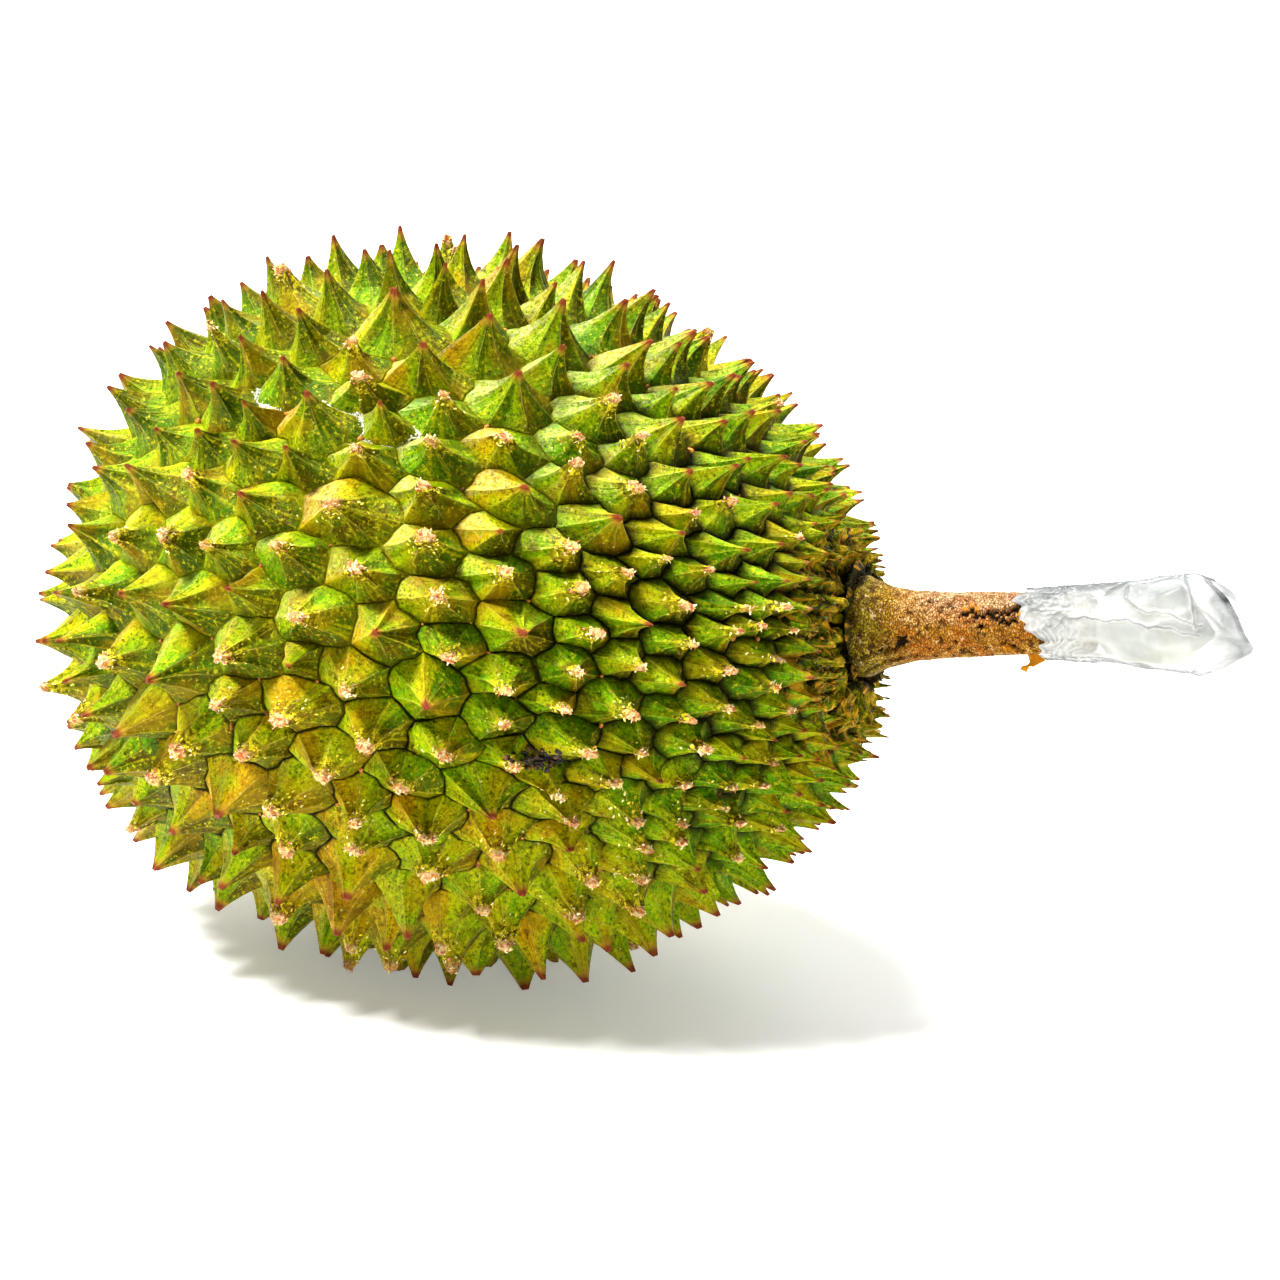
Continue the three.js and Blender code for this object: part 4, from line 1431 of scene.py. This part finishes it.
# woody stem
bark = {
    "step": 0.4,            # mm along the stem
    "around": 160,
    "grain": 0.2,           # mm, height of the coarse grain
    "grainSize": 1.4,
    "wrinkle": 0.25,        # mm, height of the long wrinkles
    "wrinkleSize": 2.0,
    "inset": 0.15,          # mm that the bark lies inside the solid, so that its grain reaches it
    "crackEdge": (0.05, 0.4),   # mm beside a crack over which it gets shallow
    "jag": [(0.4, 3.1, 0), (0.35, 7.3, 1)],  # how the cracks zigzag, as waves along the stem
    "cracks": [             # station, angle from the top, half width in mm
        [(3.9, -115, 0.1), (8.4, -115, 0.18), (12.9, -117, 0.25), (15, -106, 0.5)],
        [(3.3, -144, 0.12), (7.2, -141, 0.2), (11.2, -138, 0.18), (17.4, -144, 0.15), (23.3, -144, 0.05)],
        [(29.6, -61, 0.3), (32.1, -50, 0.6), (33.5, -62, 0.3)],
        [(32.8, -66, 0.2), (37.3, -55, 0.45), (40.5, -58, 0.3), (43.7, -43, 0.55), (46.2, -53, 0.6)],
        [(36.5, -58, 0.2), (38.2, -70, 0.3), (41, -76, 0.35), (43.5, -68, 0.2)],
        [(40.5, -75, 0.4), (39.5, -66, 0.15)],
        [(28.7, -128, 0.06), (31, -140, 0.22)],
        [(38.8, -113, 0.12), (41, -124, 0.3), (43.4, -141, 0.3)],
        [(21.3, -33, 0.05), (22.3, -29, 0.15)],
        [(8, 70, 0.05), (16, 74, 0.25), (27, 68, 0.1)],
        [(22, 150, 0.1), (30, 143, 0.3), (40, 150, 0.1)],
    ],
    # holes: station, angle and radius; chips: station, angle, half length and half width
    "holes": [(15, -104, 1.45), (34.4, -82, 0.75), (28, -109, 0.45), (24.4, -133, 0.4), (40.5, -75, 0.6),
              (14, 120, 0.8)],
    "chips": [(40.4, -129, 1.9, 0.9), (32, -50, 2.6, 1.6), (45, -60, 2.2, 1.5)],
    "depth": 1.0,           # mm that cracks and holes go in
    "holeEdge": (0.75, 1.1),    # shares of a hole's radius over which it gets shallow
    "holeRagged": 0.3,      # how far its edge strays
    "chipEdge": 0.7,        # the same for a chip, which ends at its full size
    "wrinkleStretch": 0.22,
    "tones": [(0.3, "#6A3E04"), (0.42, "#96600E"), (0.52, "#BC8424"), (0.62, "#D8A650"), (0.74, "#F0D090")],
    "footTones": [(0.32, "#2E2800"), (0.46, "#645A00"), (0.56, "#887C04"), (0.7, "#B8A22C")],
    "paintedTopLightTones": ("#A07048", "#E8C8A4"),
}
looseBark = {
    # outline of the flake that hangs below the stem: along it and down, in mm
    "outline": [(0, 0), (4.6, 0.9), (4.3, 1.9), (1.6, 3.4), (0.7, 3.2), (0.1, 4.6), (-1.5, 4.1), (-1.3, 3.4),
                (0.1, 3.0), (0.7, 2.2)],
    "from": 44.0,
    "side": -156,           # degrees round the stem from its top
    "sunk": 0.6,            # mm below the bark's surface, where it holds
    "thickness": 0.5,
    "curl": 0.06,           # per mm of drop
    "wave": 0.15,
    "shownAt": 40.0,        # the station whose colour it has
}


def lineDistance(along, signed, radius, line):
    # distance in mm on the stem's surface to a drawn line, less the line's half width
    best = np.full(along.shape, math.inf)
    for (fromStation, fromAngle, fromWidth), (toStation, toAngle, toWidth) in zip(line, line[1:]):
        up = along - fromStation
        across = (signed - math.radians(fromAngle)) * radius
        run, turn = toStation - fromStation, math.radians(toAngle - fromAngle) * radius
        share = np.clip((up * run + across * turn) / (run * run + turn * turn), 0, 1)
        width = fromWidth + (toWidth - fromWidth) * share
        best = np.minimum(best, np.hypot(up - share * run, across - share * turn) - width)
    return best


def drawnLines(along, signed, radius, lines, *edge):
    # 1 on the lines, falling to 0 over the edge beside them, which is given in mm
    drawn = np.zeros(len(along))
    for line in lines:
        drawn = np.maximum(drawn, 1 - smoothStep(*edge, lineDistance(along, signed, radius, line)))
    return drawn


def noiseGrid(points, size, seed, octaves=3):
    shift = Vector((seed, seed, seed))
    return np.array([noise.fractal(Vector(p) / size + shift, 0.9, 2.1, octaves) for p in points])


def tubeFaces(rings, around, closedEnds=True):
    faces = []
    for i in range(rings - 1):
        for k in range(around):
            a, b = i * around + k, i * around + (k + 1) % around
            faces.append((a, b, b + around, a + around))
    if closedEnds:
        faces.append(tuple(reversed(range(around))))
        faces.append(tuple(range((rings - 1) * around, rings * around)))
    return faces


def woodyBark():
    # a durian's stalk: corky orange-brown bark, rippled all over, greener at the foot
    material, tree, surface, place = blankMaterial("woody_bark")
    crack, station, chip, up = readAttributes(tree, "crack", "station", "chip", "up")
    coarse = noiseOf(tree, place, 1.0, 5.0, 0.7)
    wide = noiseOf(tree, place, 6.0, 4.0, 0.6)
    pale = noiseOf(tree, place, 0.6, 3.0, 0.7)
    dark = noiseOf(tree, place, 0.9, 3.0, 0.7)
    # the ripples are narrow along the stem and longer across it
    bend = addNode(tree, "ShaderNodeTexNoise", {"Vector": place, "Scale": 0.5 / (2.0 * mm)}).outputs["Color"]
    bent = vectors(tree, "ADD", place, vectors(tree, "SCALE", bend, scale=1.0 * mm))
    sockets = {"Vector": vectors(tree, "MULTIPLY", bent, (1.8, 1.0, 1.0)), "Scale": 1 / (0.95 * mm)}
    ripples = addNode(tree, "ShaderNodeTexVoronoi", sockets, feature="DISTANCE_TO_EDGE").outputs["Distance"]
    green = fillRamp(tree, coarse, bark["footTones"])
    paintedTopLight = mixed(tree, remap(tree, coarse, 0.4, 0.6), *bark["paintedTopLightTones"])
    colour = layered(tree, fillRamp(tree, coarse, bark["tones"]), [
        (remap(tree, wide, 0.5, 0.62, 0.0, 0.6), "#BC6410"),
        (remap(tree, added(tree, station, wide, -16.0), -2.0, 8.0, 0.92, 0.0), green),
        # painted highlight: paler along its top, where the light falls
        (times(tree, remap(tree, up, 0.1, 0.9, 0.0, 0.55), remap(tree, station, 12, 22)), paintedTopLight),
        (remap(tree, ripples, 0.02, 0.2, 0.85, 0.0), "#361A04"),
        (remap(tree, pale, 0.58, 0.68, 0.0, 0.45), "#F0CC98"),
        (remap(tree, dark, 0.43, 0.38, 0.0, 0.85), "#2E1602"),
        # fresh orange wood where a chip is off, and dark cracks
        (times(tree, chip, 0.75), "#D8860E"),
        (crack, "#120802"),
    ])
    feed(tree, surface, {"Base Color": colour, "Roughness": 0.75, "Specular IOR Level": 0.2,
                         "Specular Tint": linearColour("#E8C890")})
    bumped(tree, surface, added(tree, coarse, remap(tree, ripples, 0.0, 0.25), 0.6), 0.5, 0.9)
    return material


def looseFlake(first):
    # points and faces of the flake, numbered from `first`
    plan = looseBark
    radius = atStation(stem["profile"], plan["from"]) - plan["sunk"]
    hang = besideStem(plan["from"], math.radians(plan["side"]), radius)
    along, down = np.array(plan["outline"]).T
    sides = []
    for depth in (0, plan["thickness"]):
        front = -plan["curl"] * down ** 2 - plan["wave"] * np.sin(along * 2)
        sides.append(np.stack([hang[0] + along, hang[1] + front + depth, hang[2] - down], 1))
    n = len(along)
    faces = [tuple(first + k for k in range(n)), tuple(first + n + k for k in reversed(range(n)))]
    faces += [(first + k, first + n + k, first + n + (k + 1) % n, first + (k + 1) % n) for k in range(n)]
    return np.concatenate(sides), faces


def buildStem():
    count = round(stem["end"] / bark["step"])
    along, angle, signed = tubeGrid(stem["end"], count, bark["around"])
    radius = atStation(stem["profile"], along)
    bend = np.sin(2 * angle + along / 17) + 0.6 * np.sin(5 * angle - along / 9)
    jag = waves(bark["jag"], along) / radius
    crack = drawnLines(along, signed + jag, radius, bark["cracks"], *bark["crackEdge"])
    for station, turn, size in bark["holes"]:
        across = (signed - math.radians(turn)) * radius
        off = np.hypot(along - station, across)
        off = off * (1 + bark["holeRagged"] * np.sin(5 * np.arctan2(across, along - station)))
        crack = np.maximum(crack, 1 - smoothStep(*(share * size for share in bark["holeEdge"]), off))
    chip = np.zeros(len(along))
    for station, turn, long, wide in bark["chips"]:
        off = np.hypot((along - station) / long, (signed + 2 * jag - math.radians(turn)) * radius / wide)
        chip = np.maximum(chip, 1 - smoothStep(bark["chipEdge"], 1, off))
    grain = noiseGrid(besideStem(along, angle, radius), bark["grainSize"], 3.0)
    stretched = np.stack([along * bark["wrinkleStretch"], radius * np.sin(angle), radius * np.cos(angle)], 1)
    wrinkle = noiseGrid(stretched, bark["wrinkleSize"], 7.0, 2)
    radius = radius * (1 + stem["unevenness"] * bend)
    radius = radius + bark["grain"] * grain + bark["wrinkle"] * wrinkle
    radius = radius - bark["depth"] * crack - bark["inset"]
    points = besideStem(along, angle, radius)
    flakePoints, flakeFaces = looseFlake(len(points))
    thing = meshObject("woody_stem", toRow(np.concatenate([points, flakePoints])),
                       tubeFaces(count + 1, bark["around"]) + flakeFaces)
    shadeSmooth(thing, sides=4)
    for name, values, onFlake in (("crack", crack, 0), ("station", along, looseBark["shownAt"]),
                                  ("chip", chip, 1), ("up", np.cos(angle), 0)):
        storeAttribute(thing.data, name, np.append(values, np.full(len(flakePoints), onFlake)))
    thing.data.materials.append(woodyBark())
    return thing


woodyStem = buildStem()
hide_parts("stem")
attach(woodyStem, "root")
print("stem is built")


# wrapping of the cut end
wrap = {
    "step": 0.4,            # mm along the film
    "around": 160,
    "radius": 9.5,          # mm, the film's own, for its pattern
    "stretch": 2.2,         # how much longer than wide its creases are
    "inset": 0.1,           # mm that it lies inside its solid
    "least": 0.15,          # mm, half the space left between its walls
    "rimBack": 1.8,         # mm that the rim lies back from the solid's own
    "rimEnds": (8, 20),     # the stations between which the rim's small creases end
    "pinchEnds": (39, 47),  # and those between which it gets pinched
    "closedEnds": (39, 44),     # and those between which its creases end
    "creasesFrom": 5,       # the station by which they have their full height
    # the pinched end: how far it reaches past the film's own length, by degrees from the top
    "endLine": [(0, -5.2), (25, -4), (50, -0.5), (75, 2.0), (95, 3.4), (112, 5.2), (125, 4.8), (145, 0),
                (180, -6)],
    # mm that the film stands off its solid, by station
    "standOff": [(0, 0.0), (14, 0.2), (24, 0.6), (32, 1.1), (38, 1.5), (44, 2.0), (48, 2.8)],
    "crumple": 0.7,         # mm, height of the film's creases
    "creaseSize": 6.5,      # mm between them
    "fineCrumple": 0.45,    # mm, of the small ones at its rim
    "fineSize": 1.7,
    "ragged": 2.0,          # mm that the torn rim wanders
    "rimWaves": [(0.4, 7, 2), (0.25, 13, 0), (0.2, 23, 1)],  # how it wanders, round the stem
    "foldWaves": [(0.3, 0.7, 0), (0.15, 1.9, 1)],  # how the drawn folds waver, along it
    "tones": ("#CACBC6", "#B2B4AE"),
    "foldEdge": 0.55,       # mm beside a drawn fold over which it ends
    "bandEdge": 0.5,
    # the crumpled seam across the end, which hides what is behind it
    "band": [(46.2, 30, 1.0), (46.6, -5, 1.3), (47.2, -35, 1.1), (47.9, -70, 0.8), (48, -100, 0.5)],
    "folds": [              # drawn folds: station, angle from the top, half width in mm
        [(10, -2, 0.02), (15, -22, 0.12), (22, -10, 0.05)],
        [(16, -4, 0.1), (20, -26, 0.15), (27, -8, 0.3), (33, 2, 0.1)],
        [(25, -22, 0.05), (24.5, -44, 0.1), (28, -58, 0.08), (36, -70, 0.04), (41, -84, 0.02)],
        [(12, -68, 0.02), (26, -74, 0.06), (40, -92, 0.02)],
        [(39.5, 20, 0.1), (40, -40, 0.06), (39.5, -84, 0.02)],
        [(39.5, -118, 0.02), (39, -150, 0.08)],
        [(4, -14, 0.1), (20, -8, 0.3), (34, -6, 0.5), (44, -4, 0.4)],
        [(20, 90, 0.1), (32, 60, 0.2), (42, 100, 0.1)],
    ],
}


def filmPoints(along, angle, inset, crumple, ragged):
    # a point of the film's wall, `inset` mm inside the outside of its own solid
    share = along / film["length"]
    reach = atStation(wrap["endLine"], np.degrees(np.abs(signedAngle(angle)))) * share ** 4
    rim = film["raggedness"] * np.sin(3 * angle + 1) - film["rimSlant"] * np.cos(angle) + ragged
    rim = rim * (1 - share) ** 6
    height, depth = (np.maximum(atStation(film[name], along) + crumple - inset, wrap["least"])
                     for name in ("halfHeightAt", "halfDepthAt"))
    return besideStem(film["start"] + along + reach + rim, angle, height, depth)


def ridged(points, size, seed):
    # 1 on thin creases, falling to 0 between them
    shift = Vector((seed, seed * 1.7, seed * 0.6))
    return np.array([max(0.0, 1 - 3.2 * abs(noise.noise(Vector(p) / size + shift))) for p in points])


def clearFilm():
    # crinkled clear film: shiny, all but colourless, greyer where it lies in folds and at its edge
    material, tree, surface, place = blankMaterial("crinkled_clear_film")
    fold, doubledAndShaded, band = readAttributes(tree, "fold", "doubledAndShaded", "band")
    facing = addNode(tree, "ShaderNodeLayerWeight", {"Blend": 0.5}).outputs["Facing"]
    edge = remap(tree, facing, 0.5, 0.72)
    haze = noiseOf(tree, place, 5.0, 4.0, 0.6)
    specks = spotsOf(tree, place, 5.0, 0.03, 0.05)
    colour = layered(tree, mixed(tree, remap(tree, haze, 0.4, 0.62), *wrap["tones"]), [
        # grey of a double layer together with painted shade, along its top and bottom
        (doubledAndShaded, "#666A69"),
        (larger(tree, remap(tree, fold, 0.5, 1.0, 0.0, 0.55), times(tree, edge, 0.85)), "#34393C"),
        (band, "#262C2E"),
        (specks, "#2E2A24"),
    ])
    folded = remap(tree, fold, 0.0, 0.6, 0.5, 0.85)
    alpha = larger(tree, folded, times(tree, edge, 0.95), doubledAndShaded, band, specks)
    feed(tree, surface, {"Base Color": colour, "Alpha": alpha, "Roughness": 0.25, "Specular IOR Level": 0.12})
    bumped(tree, surface, noiseOf(tree, place, 1.8, 3.0, 0.6, 1.5), 0.5, 0.7)
    return material


def buildFilm():
    count = round(film["length"] / wrap["step"])
    along, angle, signed = tubeGrid(film["length"], count, wrap["around"])
    radius = wrap["radius"]
    unrolled = np.stack([along / wrap["stretch"], radius * np.sin(angle), radius * np.cos(angle)], 1)
    big = ridged(unrolled, wrap["creaseSize"], 2.0)
    small = ridged(unrolled * np.array([wrap["stretch"], 1, 1]), wrap["fineSize"], 5.0)
    wander = waves(wrap["foldWaves"], along) / radius
    drawn = drawnLines(along, signed + wander, radius, wrap["folds"], 0, wrap["foldEdge"])
    nearRim = 1 - smoothStep(*wrap["rimEnds"], along)
    pinched = smoothStep(*wrap["pinchEnds"], along)
    fine = small * np.maximum(nearRim, 0.5 * pinched)
    crumple = wrap["crumple"] * (0.7 * big + 0.8 * drawn - 0.6) * smoothStep(0, wrap["creasesFrom"], along)
    crumple = crumple + wrap["fineCrumple"] * (fine - 0.5)
    ragged = wrap["rimBack"] + wrap["ragged"] * waves(wrap["rimWaves"], angle)
    atEnd = smoothStep(*wrap["closedEnds"], along)
    crumple = crumple * (1 - atEnd) + atStation(wrap["standOff"], along)
    points = filmPoints(along, angle, wrap["inset"] * (1 - atEnd), crumple, ragged)
    thing = meshObject("clear_film", toRow(points), tubeFaces(count + 1, wrap["around"], False))
    shadeSmooth(thing)
    # it lies double along the top and the bottom, and more so where it is pinched; the grey there is also
    # painted shade, darkest on its brightly lit top
    doubledAndShaded = np.maximum(0.9 * smoothStep(0.3, 1.0, np.cos(angle)), smoothStep(0.8, 1.0, -np.cos(angle)))
    doubledAndShaded = np.maximum(doubledAndShaded * (0.6 + 0.4 * big), 0.7 * pinched)
    fold = 0.4 * big ** 2 + 0.95 * drawn + 0.45 * fine + 0.35 * nearRim + 0.3 * pinched
    band = drawnLines(along, signed + wander, radius, [wrap["band"]], 0, wrap["bandEdge"])
    storeAttribute(thing.data, "fold", np.clip(fold, 0, 1))
    storeAttribute(thing.data, "doubledAndShaded", doubledAndShaded)
    storeAttribute(thing.data, "band", band * (0.65 + 0.35 * big))
    thing.data.materials.append(clearFilm())
    return thing


wadding = {
    "steps": 60,
    "around": 96,
    "gap": 0.3,             # mm between the wad and the film
    "rounding": 5,          # mm that its ends are drawn in
    "fold": 0.7,            # mm, depth of its folds
    "foldSize": 7.0,        # mm between them
    "stretch": 1.6,         # how much longer than wide they are
    "radius": 8,            # mm, the wad's own, for its pattern
    "tones": ("#B8BCB4", "#C2BC98"),
}


def softTissue():
    # crumpled white paper tissue, with a faint yellow stain
    material, tree, surface, place = blankMaterial("soft_tissue")
    stain = remap(tree, noiseOf(tree, place, 9.0, 3.0), 0.52, 0.68, 0.0, 0.5)
    specks = spotsOf(tree, place, 6.0, 0.03, 0.06)
    colour = mixed(tree, specks, mixed(tree, stain, *wadding["tones"]), "#3A3A36")
    feed(tree, surface, {"Base Color": colour, "Roughness": 0.9})
    bumped(tree, surface, noiseOf(tree, place, 0.8, 4.0, 0.7), 0.2, 0.5)
    return material


def buildWad():
    plan = wadding
    share, angle, _ = tubeGrid(1, plan["steps"], plan["around"])
    along = film["wadFrom"] + film["wadLength"] * share
    ends = np.maximum(np.abs(2 * share - 1) - 0.6, 0) / 0.4
    radius = plan["radius"]
    unrolled = np.stack([along / plan["stretch"], radius * np.sin(angle), radius * np.cos(angle)], 1)
    inset = film["wall"] + plan["gap"] + plan["rounding"] * ends ** 2
    inset = inset + plan["fold"] * ridged(unrolled, plan["foldSize"], 9.0)
    points = filmPoints(along, angle, inset, 0.0, 0.0)
    thing = meshObject("tissue_wad", toRow(points), tubeFaces(plan["steps"] + 1, plan["around"]))
    shadeSmooth(thing)
    thing.data.materials.append(softTissue())
    return thing


tissueWad = buildWad()
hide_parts("wad")
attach(tissueWad, "root")

clearWrap = buildFilm()
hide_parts("film")
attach(clearWrap, "root")
print("wrapping is built")
